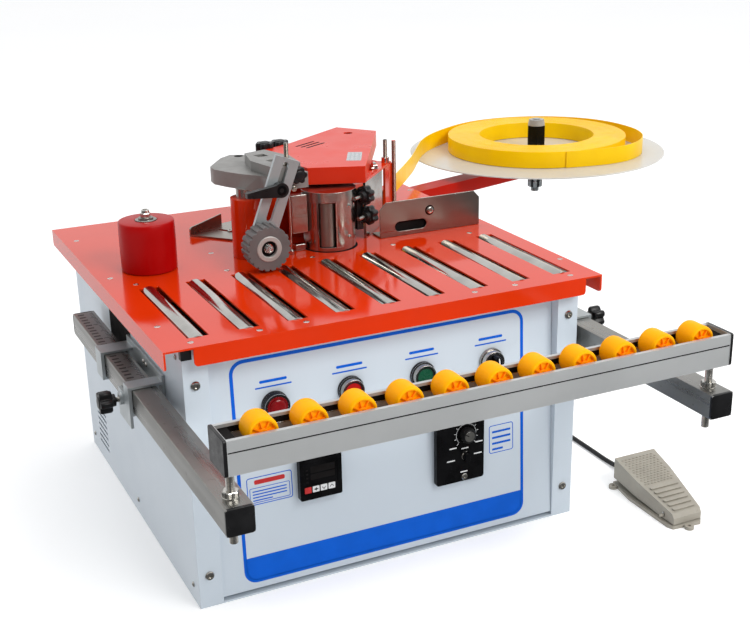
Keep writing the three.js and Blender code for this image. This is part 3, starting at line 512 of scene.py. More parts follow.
    def stands_for(self, node, mat, **more):
        """Makes the piece that takes a CAD node's place."""
        return self.done(node + "_piece", mat, BODY[node], SLOT[node], replaces=(node,), **more)


def refine(node, mat, bevel=0.0, **more):
    """Stands for a CAD node with the same shape, with its edges rounded."""
    return Build().node(node).stands_for(node, mat, bevel=bevel, **more)


# ---------------- pedal cord
CORD_R = mm(3.0)
CORD_EXIT = mm(150, 240, 45)
COIL_C, COIL_R, COIL_TURNS = mm(60, 345, 0), 33.0, 2.5
TO_COIL = [(150, 232, 45), (150, 245, 45), (150, 258, 44.4), (149.5, 270, 40), (147.5, 281, 30.5),
           (143.5, 291, 18), (136, 300, 8), (123, 306.5, 3.7), (105, 308.9, 3.2), (82, 308.9, 3.2)]
TO_PEDAL = [(75, 379.2, 9.2), (95, 380.5, 5.8), (118, 380, 3.2), (150, 377, 3.2), (180, 371.5, 3.2),
            (220, 357, 3.2), (260, 334, 3.2), (292, 302, 3.2), (315, 260, 3.2), (330, 206, 3.2),
            (338, 150, 3.2), (341.5, 86, 3.2), (343, 20, 3.2), (343.5, -50, 3.2), (343.4, -110, 3.2),
            (343, -148, 3.5), (343, -168, 5.2), (343, -184, 8.2), (343, -194, 9), (343, -203, 9)]


def coil_point(turns):
    """Centre of the cord after so many turns, wound clockwise from the near side."""
    def ease(a, b):
        s = min(1.0, max(0.0, (turns - a) / (b - a)))
        return s * s * (3 - 2 * s)
    out, z = 3.1 - 6.2 * ease(0.68, 1.0), 3.2
    if turns > 1.45:                            # climbs over the turn beside it
        a = math.radians(180 - 90 * ease(1.45, 1.75))
        out, z = 3.1 + 6.3 * math.cos(a), 3.2 + 6.3 * math.sin(a)
        out -= 3.1 * ease(1.7, 2.0)
    x, y = polar(COIL_R + out, math.radians(-90 - 360 * turns))
    return COIL_C.x / MM + x, COIL_C.y / MM + y, z


def cord_curve():
    coil = [coil_point(i / 16) for i in range(int(COIL_TURNS * 16) + 1)]
    points = [mm(*p) for p in TO_COIL + coil + TO_PEDAL]
    data = bpy.data.curves.new("pedal_cord_piece", "CURVE")
    data.dimensions, data.bevel_depth = "3D", CORD_R
    data.bevel_resolution, data.resolution_u = 5, 6
    data.use_fill_caps = True
    spline = data.splines.new("BEZIER")
    spline.bezier_points.add(len(points) - 1)
    for b, p in zip(spline.bezier_points, points):
        b.co, b.handle_left_type, b.handle_right_type = p, "AUTO", "AUTO"
    data.materials.append(CORD)
    ob = bpy.data.objects.new("pedal_cord_piece", data)
    bpy.context.scene.collection.objects.link(ob)
    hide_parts("pedal_cord")
    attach(ob, "machine")
    return ob


def cord_relief():
    """A ribbed sleeve that tapers from the rear wall."""
    ribs = [(5.5 - 0.06 * i + (0.35 if i % 2 else 0), 4.5 + i) for i in range(18)]
    profile = [(3.2, 0), (7.4, 0), (7.4, 2.5), (5.6, 4)] + ribs + [(4.1, 23), (3.2, 23)]
    return Build().lathe(profile, CORD_EXIT + mm(0, 0.2, 0), BACK, 28).done("cord_relief", BLACK)


def cord_tie():
    """A band round the turns of the coil, a quarter of a turn after its start."""
    t = math.radians(-90 - 360 * 0.25)
    centre = COIL_C + mm(*polar(COIL_R, t), 0)
    out, along = Vector((*polar(1, t), 0)), Vector((-math.sin(t), math.cos(t), 0))
    outer = round_rect(-7.4, 7.4, 0.1, 13.6, 4.4)
    inner = round_rect(-6.5, 6.5, 0.3, 12.7, 3.9)
    loops = [[centre + out * mm(x) + mm(0, 0, z) + along * mm(s) for x, z in outline]
             for outline, s in ((inner, -2.6), (outer, -2.6), (outer, 2.6), (inner, 2.6))]
    return Build().loft(loops, ends=False).done("cord_tie", BLACK)


cord = cord_curve()
cord_relief()
cord_tie()

# ---------------- cabinet
CAB_X, CAB_FRONT, CAB_BACK = 229, -231, 229
INLET_X, INLET_Z = -170, 49


def cabinet():
    refine("cabinet_body", WHITE, 0.5)
    screws = Build()
    for x in (-216.7, 216.7):
        for z in (250, 37):
            screws.screw(mm(x, CAB_FRONT, z), OUT, 5.0, 2.6)
    for x, axis in ((-CAB_X, LEFT), (CAB_X, RIGHT)):
        for y, z in ((-212, 20), (212, 20), (-212, 276), (212, 276), (0, 20)):
            screws.screw(mm(x, y, z), axis)
    for x in (-214, 0, 214):
        for z in (20, 276):
            screws.screw(mm(x, CAB_BACK, z), BACK)
    screws.done("cabinet_screws", BRIGHT)


def power_inlet():
    where = place(mm(INLET_X, CAB_BACK - 0.4, INLET_Z), LEFT, UP)
    b = Build().ring(round_rect(-17, 17, -14, 14, 2.5), round_rect(-12.5, 12.5, -9.5, 9.5, 2.5), where, 2.6)
    b.prism(round_rect(-12.6, 12.6, -9.6, 9.6, 2.5), where, 0.9).done("power_inlet", BLACK, bevel=0.4)
    pins = Build()
    for x, z in ((-4, 0), (4, 0), (0, 4)):
        x, z = INLET_X + x, INLET_Z + z
        pins.box((x - 0.7, x + 0.7), (CAB_BACK + 0.3, CAB_BACK + 1.8), (z - 2.2, z + 2.2))
    pins.done("inlet_pins", BRIGHT)


def painted_shade_spaces():
    """Painted shade: a black block in the gap at the table's corner, a dark plate over the opening in the
    left wall, and a dark sheet under the table that paints the space there as shade and also blocks light.
    """
    Build().box((-232, -221), (-240.5, -233), (281.5, 292.8)).done("corner_gap_painted_shade", BLACK, bevel=0.6)
    Build().box((-229.35, -228.9), (-34, 58), (212, 271)).done("side_opening_painted_shade", DARK)
    Build().box((-222, 222), (-212, 224), (262, 263.5)).done("inner_painted_shade_sheet", DARK, bevel=0.3)


cabinet()
power_inlet()
painted_shade_spaces()

# ---------------- front panel
PANEL_Y, PANEL_Z = -229, 6                                  # foot of the panel, which leans back
LEAN = 11.7 / 266.5
PANEL = place(mm(0, PANEL_Y, PANEL_Z), RIGHT, (0, LEAN, 1))
BUTTON_X = [-131.7 + 85.1 * i for i in range(4)]
BUTTON_Z = 209
BUTTON_Y = PANEL_Y + LEAN * (BUTTON_Z - PANEL_Z)


def framed(build, x, y, r, wide, inner_r, n=6):
    """A printed frame line on the panel."""
    inner = round_rect(x[0] + wide, x[1] - wide, y[0] + wide, y[1] - wide, inner_r, n)
    build.ring(round_rect(*x, *y, r, n), inner, PANEL)


def panel_print():
    b = Build()
    framed(b, (-178, 165.5), (7, 257), 15, 3.8, 11.4, 8)
    band = [(x, min(y, 37)) for x, y in round_rect(-175.3, 162.8, 9.7, 60, 12.4, 8)]
    b.prism([p for i, p in enumerate(band) if p != band[i - 1]], PANEL, 0.12)
    framed(b, (-168.5, -118), (96, 127.5), 3, 0.9, 2.2)
    framed(b, (120.5, 152), (91, 125), 3, 0.9, 2.2)
    framed(b, (-165.7, -120.8), (98.3, 115.5), 1.6, 0.7, 1.0)
    for i, width in enumerate((38, 38, 38, 22)):
        b.strip((-162.5, -162.5 + width), (110.6 - 3.4 * i, 111.9 - 3.4 * i), PANEL)
    for i, width in enumerate((24, 24, 24, 14)):
        b.strip((124.5, 124.5 + width), (115.5 - 7 * i, 118 - 7 * i), PANEL)
    for x in BUTTON_X:
        b.strip((x - 15, x + 15), (BUTTON_Z + 19, BUTTON_Z + 22), PANEL, r=1.2)
        b.strip((x - 20, x + 20), (BUTTON_Z + 13.6, BUTTON_Z + 15.2), PANEL, r=0.7)
    b.done("panel_print", BLUE)
    Build().strip((-160, -126), (119, 124), PANEL, r=1.5).done("panel_label_bar", RED_PRINT)


def bezel(name, x, profile, mat):
    b = Build().lathe(profile, mm(x, BUTTON_Y, BUTTON_Z), OUT, 48)
    b.done(name, mat, slot="black_plastic" if mat == BLACK else "chrome", bevel=0.25, angle=40)


def bezels():
    base = [(12.9, -0.6), (14.65, -0.6), (14.65, 2.5), (14.1, 3.2), (12.9, 3.2), (12.9, -0.6)]
    lip = [(11.9, 9.3), (11.45, 8.9), (11.45, 4.0)]
    top = [(13.0, 2.4), (13.0, 8.5), (12.4, 9.3)] + lip + [(12.0, 4.0), (12.0, 2.4), (13.0, 2.4)]
    lamp = [(12.9, -0.6), (14.65, -0.6), (14.65, 2.6), (14.2, 3.2), (14.2, 8.4), (13.6, 9.3)]
    bezel("lamp_bezel", BUTTON_X[0], lamp + lip + [(12.9, 4.0), (12.9, -0.6)], BLACK)
    for name, x in (("power", BUTTON_X[1]), ("start", BUTTON_X[2])):
        bezel(name + "_base_ring", x, base, BLACK)
        bezel(name + "_bezel", x, top, STEEL)
    bezel("switch_base_ring", BUTTON_X[3], base, STEEL)
    bezel("switch_bezel", BUTTON_X[3], top, BRIGHT)


def button_face(node):
    """The point on the panel behind the middle of a button's cap."""
    return Vector((middle(node).x, mm(BUTTON_Y), middle(node).z))


def buttons():
    arc = [polar(1, math.radians(a)) for a in range(0, 90, 10)]
    dome = [(8.8 * c, 9.6 + 2.8 * s) for c, s in arc] + [(0, 12.4)]
    lens = [(0, 1.2), (11.2, 1.2), (11.2, 9.0), (10.6, 9.8), (9.5, 9.6), (8.9, 9.3)] + dome
    Build().lathe(lens, button_face("power_lamp"), OUT).stands_for("power_lamp", LENS, angle=28)
    dish = [(0, 1.2), (11.15, 1.2), (11.15, 7.6), (10.5, 8.4), (9.3, 8.3), (8.9, 7.7), (4, 7.5), (0, 7.5)]
    rim = [(9.4, 8.1), (10.6, 8.15), (10.75, 8.55), (9.3, 8.55), (9.2, 8.3), (9.4, 8.1)]
    for node, mat in (("power_button", PU), ("start_button", GREEN)):
        Build().lathe(dish, button_face(node), OUT).stands_for(node, mat, angle=28)
        Build().lathe(rim, button_face(node), OUT).done(node + "_rim", BLACK, BODY[node], angle=28)


def mode_switch():
    face = button_face("mode_switch")
    body = BODY["mode_switch"]
    profile = [(0, 1.2), (11.1, 1.2), (11.1, 9.2), (10.3, 10.0), (0, 10.0)]
    Build().lathe(profile, face, OUT).stands_for("mode_switch", BLACK, angle=28)
    c, s = polar(1, math.radians(8))
    base, height = 9.6, 11.2
    where = place(face - mm(0, base, 0), (c, 0, s), (-s, 0, c))
    grip = Build().prism(round_rect(-3.4, 3.4, -10.5, 10.5, 3.2), where, height)
    grip.done("mode_switch_grip", GLOSS_BLACK, body, bevel=1.2, segments=3)
    mark = Build().strip((-0.7, 0.7), (2.5, 9.2), lift(where, height), r=0.5)
    mark.done("mode_switch_mark", WHITE_PRINT, body)


refine("front_panel", WHITE, 0.4)
panel_print()
bezels()
buttons()
mode_switch()


# ---------------- controllers
def temperature_controller():
    lo, hi = extent("temperature_controller")
    refine("temperature_controller", GLOSS_BLACK, 0.8)
    face = upright(mm((lo.x + hi.x) / 2, lo.y, (lo.z + hi.z) / 2))
    glass = lift(face, -1.05)
    displays = Build()
    for y in ((6.5, 14), (-1.5, 5)):
        displays.strip((-11.5, 16), y, glass, 0.25, 0.8)
    for i in range(4):
        displays.strip((-17, -14.2), (9.5 - 4.6 * i, 11.4 - 4.6 * i), glass, 0.3, 0.9)
    displays.done("controller_displays", DARK)
    key_y, key_x, key_high = (-15.6, -8.6), (-6.5, 2.5, 11.5), 0.7
    keys = Build()
    for x in key_x:
        keys.strip((x - 3.9, x + 3.9), key_y, face, key_high, 0.8)
    keys.done("controller_keys", WHITE_PRINT, bevel=0.3)
    marks = Build()
    on_keys = lift(face, key_high)
    middle_y = sum(key_y) / 2
    for x, way in ((key_x[1], -1), (key_x[2], 1)):
        for s in (-1, 1):
            tip, foot = middle_y + 1.5 * way, middle_y - 0.9 * way
            chevron = [(x, tip - 0.5), (x, tip + 0.5), (x + 2.2 * s, foot + 0.5), (x + 2.2 * s, foot - 0.5)]
            marks.prism(chevron, on_keys, 0.1)
    arrow = [(-8.8, 0), (-5.9, 2.0), (-5.9, 0.6), (-4.2, 0.6), (-4.2, -0.6), (-5.9, -0.6), (-5.9, -2.0)]
    marks.prism([(x, middle_y + y) for x, y in arrow], on_keys, 0.1)
    marks.done("controller_key_marks", BLACK)
    Build().strip((-19.4, -11.6), key_y, face, key_high, 0.8).done("controller_set_key", RED_PRINT, bevel=0.3)


DIAL = middle("speed_dial") / MM
PLATE_Y = PANEL_Y + LEAN * 70 - 7                           # front of the speed controller's plate
DIAL_FACE = upright(mm(DIAL.x, PLATE_Y, DIAL.z))
DIAL_AT = mm(DIAL.x, PLATE_Y, DIAL.z)


def speed_scale():
    """Eleven ticks and an arc round the dial, and bars in the places of words."""
    b = Build()
    for i in range(11):
        a = math.radians(225 - 27 * i)
        b.prism(bar(polar(13.2, a), polar(16.6 if i % 5 == 0 else 15.4, a), 0.3), DIAL_FACE, 0.1)
    arc = [math.radians(225 - 5 * i) for i in range(55)]
    for a0, a1 in zip(arc, arc[1:]):
        b.prism([polar(12.2, a0), polar(12.2, a1), polar(12.55, a1), polar(12.55, a0)], DIAL_FACE, 0.1)
    words = ((-21, -15, 9), (-6, -17.5, 9), (12, -13, 9), (-7, -46, 9), (-24, -30, 10), (10, -27, 10))
    for x, y, wide in words:
        b.strip((x, x + wide), (y, y + 1.4), DIAL_FACE, 0.1)
    b.done("speed_scale", WHITE_PRINT)


def speed_controller():
    refine("speed_controller", GLOSS_BLACK, 0.5)
    speed_scale()
    toggle = mm(85, PLATE_Y, 107)
    b = Build().lathe([(0, -0.2), (5.4, -0.2), (5.4, 1.2), (4.6, 2.2), (0, 2.2)], toggle, OUT, 24)
    b.lathe([(0, 2), (2.0, 2), (1.8, 6.4), (1.2, 6.9), (0, 6.9)], toggle, OUT, 16).done("speed_toggle", STEEL)
    Build().screw(mm(84, PLATE_Y, 81.5), OUT, 3.9, 2.0).done("speed_plate_screw", BRIGHT)


def speed_dial():
    knurl = [polar(8.9 * (1 - 0.035 * (i % 2)), a) for i, a in enumerate(circle(72))]
    b = Build().prism(knurl, lift(DIAL_FACE, 0.4), 6.8)
    b.lathe([(0, 7), (8.3, 7), (7.9, 8.4), (7.2, 8.8), (0, 8.8)], DIAL_AT, OUT)
    b.stands_for("speed_dial", BLACK, angle=24)
    face = Build().lathe([(0, 8.7), (6.2, 8.7), (6.0, 9.0), (0, 9.0)], DIAL_AT, OUT, 32)
    face.done("speed_dial_face", BRIGHT, BODY["speed_dial"])
    turned = lift(DIAL_FACE @ Matrix.Rotation(math.radians(58), 4, "Z"), 9.0)
    Build().strip((-0.6, 0.6), (1.5, 7.8), turned, 0.15).done("speed_dial_mark", BLACK, BODY["speed_dial"])


temperature_controller()
speed_controller()
speed_dial()

# ---------------- table and its rollers
TABLE_Z = high("table_top").z / MM
TABLE_ROLLERS = [f"table_roller_{i + 1}" for i in range(9)]


def table():
    refine("table_top", RED, 0.5)
    spots = [(x, -230) for x in (-218, -147, -97, 97, 147, 218)]
    spots += [(middle(node).x / MM - 9, -27) for node in TABLE_ROLLERS[::2]]
    spots += [(-234, -171.5), (242, -173.6), (-235.5, 8.4), (242, 20), (-104, 47)]
    spots += [(-234, 180), (242, 205), (0, 232), (-120, 232), (120, 236)]
    b = Build()
    for x, y in spots:
        b.flush_screw(mm(x, y, TABLE_Z), UP, 3.2)
    b.done("table_screws", BRIGHT)


def table_roller(node):
    lo, hi = extent(node)
    r, pin, long = (hi.x - lo.x) / 2, 2.15, hi.y - lo.y
    half = [(0, 0), (pin - 0.35, 0), (pin, 0.4), (pin, 3.9), (r - 0.8, 3.9), (r, 4.6)]
    b = Build().lathe(half + [(q, long - t) for q, t in reversed(half)],
                      Vector((middle(node).x, mm(lo.y), middle(node).z)), BACK)
    b.stands_for(node, CHROME)


table()
for name in TABLE_ROLLERS:
    table_roller(name)

# ---------------- support rail and its rollers
RAIL_LO, RAIL_HI = extent("roller_rail")


def rail():
    """The channel, with painted shade in a groove along its front, in a slot in its back wall and inside its
    ends, and black caps on its ends.
    """
    (x0, y0, z0), (x1, y1, z1) = RAIL_LO, RAIL_HI
    refine("roller_rail", ALU, 0.5)
    # dark boxes that paint the shade in the groove, the slot and the hollow ends
    b = Build().box((x0 + 3.2, x1 - 3.2), (y0 + 0.75, y0 + 1.05), (z0 + 20.35, z0 + 21.6))
    b.box((x0 + 3.2, x1 - 3.2), (y1 - 3.0, y1 - 2.6), (z1 - 9.6, z1 - 4.0))
    for x in ((x0 + 3.3, x0 + 15), (x1 - 15, x1 - 3.3)):
        b.box(x, (y0 + 2.9, y1 - 2.9), (z0 + 2.9, z1 - 4.2))
    b.done("rail_slot_shade", DARK, "rail")
    lip = Build().box((x0 + 15.3, x1 - 15.3), (y1 - 3.3, y1 - 2.6), (z1 - 10.6, z1 - 9.8))
    lip.done("rail_slot_lip", BRIGHT, "rail", "aluminium", bevel=0.15)
    proud, thick = 0.25, 3.5
    section = round_rect(y0 - proud, y1 + proud, z0 - proud, z1 + proud, 2.2, 4)
    for name, x in (("left", x0 - proud), ("right", x1 + proud - thick)):
        cap = Build().prism(section, place(mm(x, 0, 0), BACK, UP), thick)
        cap.done("rail_cap_" + name, BLACK, "rail", bevel=0.7)


def rail_roller(node):
    """A moulded roller with a hollow in each end, eight ribs in each hollow, and a pin."""
    lo, hi = extent(node)
    c, r, half = middle(node), (hi.x - lo.x) / 2, 12.0
    end = [(2.6, -half + 3.2), (r - 3.6, -half + 3.2), (r - 3.2, -half + 0.5), (r - 2.6, -half),
           (r - 1.4, -half), (r - 0.4, -half + 1.0), (r, -half + 3.0)]
    b = Build().lathe(end + [(q, -t) for q, t in reversed(end)] + [end[0]], c, BACK, 44)
    # the roller's orange carries a faint painted glow
    b.stands_for(node, GLOWING_ORANGE, angle=40)
    b = Build()
    for way in (-1, 1):
        hub = [(2.0, 3), (2.0, half - 0.3), (3.6, half - 0.3), (4.2, half - 1.0), (4.2, half - 3.3),
               (2.6, half - 3.4), (2.6, 3), (2.0, 3)]
        b.lathe([(q, way * t) for q, t in hub], c, BACK, 24)
        for k in range(8):
            x, z = polar(1, math.tau * (k + 0.25) / 8)
            rib = place(c + mm(0, way * (half - 3.3), 0), (x, 0, z), (-z, 0, x))
            b.prism([(3.9, -0.55), (r - 3.3, -0.55), (r - 3.3, 0.55), (3.9, 0.55)], rib, -way * 2.4)
    # ribs in darker orange as painted shade of the hollow, with a faint painted glow
    b.done(node + "_ribs", ORANGE_SHADED_GLOWING, BODY[node])
    y0, y1 = lo.y - c.y / MM, hi.y - c.y / MM
    pin = [(0, y0), (1.5, y0), (1.85, y0 + 0.4), (1.85, y1 - 0.4), (1.5, y1), (0, y1)]
    Build().lathe(pin, c, BACK, 16).done(node + "_pin", BRIGHT, BODY[node])


rail()
for number in range(1, 12):
    rail_roller(f"rail_roller_{number}")

# ---------------- support arms, saddles, studs and knobs
ARM_THICK = 25.4


def support_arm(arm):
    refine(arm, ARM_STEEL, 1.4, segments=3)
    lo, hi = extent(arm)
    section = round_rect(lo.x - 0.25, hi.x + 0.25, lo.z - 0.25, lo.z + ARM_THICK + 0.25, 3.0, 4)
    caps = Build().prism(section, upright(mm(0, lo.y + 3.2, 0)), 3.5)
    caps.prism(section, upright(mm(0, hi.y + 0.25, 0)), 2.2)
    caps.done(arm + "_cap", BLACK, BODY[arm], bevel=0.8, segments=3)


def height_stud(stud, arm):
    """A threaded stud with a nut above and below the rail's floor, and a nut and washer on the arm."""
    lo, hi = extent(stud)
    foot = Vector((middle(arm).x, middle(stud).y, 0))
    floor_z, arm_top = RAIL_LO.z + 0.3, low(arm).z / MM + ARM_THICK
    b = Build().lathe(thread(lo.z, hi.z, 4.0, 1.25, 0.35), foot, UP, 20)
    b.hex_nut(foot + mm(0, 0, floor_z + 2.7), UP, 12, 5.3)
    b.hex_nut(foot + mm(0, 0, floor_z - 5.6), UP, 12, 5.3)
    b.stands_for(stud, BRIGHT, angle=25)
    b = Build().hex_nut(foot + mm(0, 0, arm_top + 0.2), UP, 13.4, 6.0)
    b.lathe([(0, 0), (7.9, 0), (7.9, 0.8), (7.5, 1.0), (0, 1.0)], foot + mm(0, 0, arm_top), UP, 32)
    b.done(arm + "_nut", BRIGHT, BODY[arm], angle=25)


def clamp_knob(node, way):
    lo, hi = extent(node)
    outer, inner = (lo.x, hi.x) if way < 0 else (hi.x, lo.x)
    c, axis = middle(node), (way, 0, 0)

    def at(x):
        return Vector((mm(x), c.y, c.z))

    b = Build().star_knob(at(outer - way * 14), axis, 12.4, 5, 13.2, 0.34)
    b.lathe(rod(6.6, 0, 4), at(outer - way * 18), axis, 24)
    b.stands_for(node, BLACK, bevel=0.7, segments=3, angle=40)
    stem = Build().lathe(thread(0, abs(outer - inner) - 17.5, 2.95), at(inner), axis, 18)
    stem.done(node + "_stem", BRIGHT, BODY[node])


def arm_scale():
    """Marks every 5 mm on top of the left arm, with blocks in the places of figures."""
    lo, hi = extent("support_arm_left")
    top = place(mm((lo.x + hi.x) / 2, 0, lo.z + ARM_THICK), RIGHT, BACK)
    b = Build()
    for i in range(49):
        y = -150 + 5 * i
        wide = 9.5 if i % 10 == 0 else 7.0 if i % 5 == 0 else 4.5
        b.prism([(9.5 - wide, y - 0.6), (9.5, y - 0.6), (9.5, y + 0.6), (9.5 - wide, y + 0.6)], top, 0.08)
        if i % 2 == 0:
            b.prism([(-9, y - 2.0), (-1.5, y - 2.0), (-1.5, y + 1.6), (-9, y + 1.6)], top, 0.08)
    b.done("arm_scale", BLACK, "support")


for side, way, screw_y in (("left", -1, (-108, -97)), ("right", 1, (-158, -147))):
    support_arm("support_arm_" + side)
    height_stud("height_stud_" + side, "support_arm_" + side)
    refine("arm_bracket_" + side, ZINC, 0.6)
    clamp_knob("clamp_knob_" + side, way)
    screws = Build()
    for y in screw_y:
        for z in (206, 232):
            screws.screw(mm(way * 232.3, y, z), (way, 0, 0), 2.8)
    screws.done(f"arm_bracket_{side}_screws", BRIGHT)
arm_scale()

# ---------------- head
TABLE = TABLE_Z + 0.3
FRAME_TOP = 369.2
COVER_TOP = high("head_cover").z / MM
ROD_AT, BOLT_AT = (146.3, 85), (118.7, 61)                  # fixings on the flange beside the cover
COVER_KNOBS = ((11, 157, 384.5), (37, 172, 381.5))


def head_frame():
    refine("head_frame", RED, 0.5)
    plate = Build().prism([(84.4, 13.2), (131.3, 63.9), (128.8, 66.3), (82.0, 15.6)], level(TABLE), 70.2)
    plate.done("head_side_plate", STEEL, bevel=0.3)
    bolt = mm(*BOLT_AT, FRAME_TOP)
    b = Build().hex_nut(mm(*ROD_AT, FRAME_TOP), UP, 9.2, 6.9).hex_nut(bolt, UP, 9.6, 5.2)
    b.lathe([(0, 5), (3.6, 5), (3.2, 7.0), (2.0, 8.3), (0, 8.7)], bolt, UP, 20)
    b.lathe(rod(6.2, 0, 0.8), bolt, UP, 28)
    b.hex_nut(mm(113.8, 55, FRAME_TOP), UP, 5.5, 3.2)
    b.done("head_fixings", BRIGHT, angle=25)
    Build().lathe(thread(370, 398.4, 2.75), mm(*ROD_AT, 0), UP, 18).done("head_rod", ROD, angle=25)


def head_cover():
    refine("head_cover", COVER, 1.2, segments=3)
    along, across = Vector((0.87, 0.5, 0)), Vector((-0.5, 0.87, 0))
    # three dark slits painted as shade on the cover's top
    b = Build()
    for k in (-1, 0, 1):
        slit = place(mm(68, 143, COVER_TOP) + mm(8.5 * k) * across, along, across)
        b.prism(round_rect(-19, 19, -1.6, 1.6, 1.5, 4), slit, 0.06)
    b.done("cover_slit_shade", DARK)
    label = place(mm(88, 51, COVER_TOP), (0.45, 0.893, 0), (-0.893, 0.45, 0))
    Build().prism(round_rect(-24, 24, -9, 9, 1.2, 4), label, 0.1).done("cover_label", FOIL)
    b = Build()
    for i in range(3):
        b.strip((-20, 20), (-6.6 + 5.2 * i, -4.4 + 5.2 * i), lift(label, 0.1), 0.04, 0.3)
    b.done("cover_label_lines", ZINC)
    Build().lathe(rod(5.9, 0, 0.2), mm(141, 187, 387.6), UP, 24).done("cover_hole_shade", DARK)


def cover_knobs():
    knobs, stems = Build(), Build()
    for x, y, z in COVER_KNOBS:
        knobs.star_knob(mm(x, y, z), UP, 12, 6, 12, 0.22)
        knobs.lathe([(0, -3), (6, -3), (6.5, 0.3), (0, 0.3)], mm(x, y, z), UP, 24)
        stems.lathe(thread(FRAME_TOP + 0.1, z - 2.5, 3.0), mm(x, y, 0), UP, 16)
    knobs.done("cover_knobs", BLACK, bevel=0.6, angle=40)
    stems.done("cover_knob_stems", BRIGHT)


head_frame()
head_cover()
cover_knobs()

# ---------------- roller housing
HOUSE = middle("roller_housing") / MM
WINDOW_Z = (TABLE + 5, 354.6)
KNOB_WAY = Vector((0.87, 0.49, 0)).normalized()             # the housing knobs point back and to the right
HOUSE_KNOBS = ((71.0, -7.5, 355.0), (75.5, -7.5, 330.0))


def house_point(r, degrees, z):
    """A point round the housing's axis."""
    x, y = polar(r, math.radians(degrees))
    return mm(HOUSE.x + x, HOUSE.y + y, z)


def housing():
    """The housing, and a strip and a wire that stand at the left edge of its window."""
    refine("roller_housing", STEEL, 0.5)
    out = Vector((*polar(1, math.radians(-64)), 0))
    b = Build()
    for z in (349, 311):
        b.screw(house_point(31.4, -64, z), out, 2.6, 1.5)
    b.done("housing_screws", BRIGHT)
    arcs = ((31.45, range(-97, -81, 2)), (29.9, range(-83, -99, -2)))
    band = [house_point(r, a, 0) / MM for r, degrees in arcs for a in degrees]
    strip = Build().prism([p[:2] for p in band], level(WINDOW_Z[0]), WINDOW_Z[1] - WINDOW_Z[0])
    strip.done("housing_strip", STEEL)
    Build().lathe(rod(0.9, *WINDOW_Z), house_point(31.3, -97, 0), UP, 16).done("housing_wire", BRIGHT)


def glue_roller():
    lo, hi = extent("glue_roller")
    top = hi.z - 10.5
    profile = [(0, lo.z), (10.6, lo.z), (11.4, lo.z + 0.8), (11.4, top - 0.8), (10.6, top), (5, top),
               (5, hi.z - 0.4), (4.6, hi.z), (0, hi.z)]
    Build().lathe(profile, axis_of("glue_roller"), UP, 48).stands_for("glue_roller", CHROME_Z)


def housing_knobs():
    knobs, stems = Build(), Build()
    for spot in HOUSE_KNOBS:
        knobs.star_knob(mm(*spot), KNOB_WAY, 11.8, 7, 10.5, 0.20)
        knobs.lathe([(0, -4.5), (5.2, -4.5), (6.6, 0.4), (0, 0.4)], mm(*spot), KNOB_WAY, 24)
        stems.lathe(rod(2.5, -17, -3), mm(*spot), KNOB_WAY, 18)
    knobs.done("housing_knobs", BLACK, bevel=0.5, angle=40)
    stems.done("housing_knob_stems", STEEL)
    Build().box((66.2, 75), (0, 9), (312, 361)).done("housing_knob_block", BLACK, bevel=0.8)


def tape_inlet():
    """The block and the wire that lead the tape past the roller, and a dark ring painted as shade in the gap
    round the housing.
    """
    b = Build().prism([(-17, 1), (3.2, 1), (3.2, 13), (-17, 13)], level(318), 46)
    b.prism([(-13, 3), (0, 3), (0, 12), (-13, 12)], level(TABLE), 8).done("guide_block", STEEL, bevel=0.8)
    foot = mm(-21.4, -4, 0)
    b = Build().lathe(rod(1.3, TABLE, 366), foot, UP, 16)
    b.lathe([(0, TABLE), (3.6, TABLE), (3.6, TABLE + 4), (1.3, TABLE + 6), (0, TABLE + 6)], foot, UP, 20)
    b.done("guide_wire", BRIGHT)
    # a dark ring painted as shade in the gap round the housing
    gap = Build().lathe(washer(33.6, 29.5, 0, 0.15), mm(HOUSE.x, HOUSE.y, TABLE_Z), UP, 72)
    gap.done("housing_gap_shade", DARK)


housing()
glue_roller()
housing_knobs()
tape_inlet()


# ---------------- swing arm, lever, wheel and handles
def swing_arm():
    body = "swing_arm"
    refine("cast_arm", CAST, 2.2, segments=3)
    Build().lathe(rod(11.4, 321, 376.9), mm(-67, 17, 0), UP, 48).done("column_post", STEEL, body)
    b = Build().lathe(thread(405, 432.9, 2.75), mm(-31, -25, 0), UP, 18)
    b.lathe([(0, 0), (5.0, 0), (4.6, 1.6), (2.6, 2.2), (0, 2.2)], mm(-31, -25, 406.9), UP, 24)
    b.done("boss_rod", ROD, body, "steel")
    # a dark disc painted as shade in a hole in the cast arm
    Build().lathe(rod(5.4, 0, 0.1), mm(-43, 104, 394.95), UP, 28).done("cast_arm_hole_shade", DARK, body)


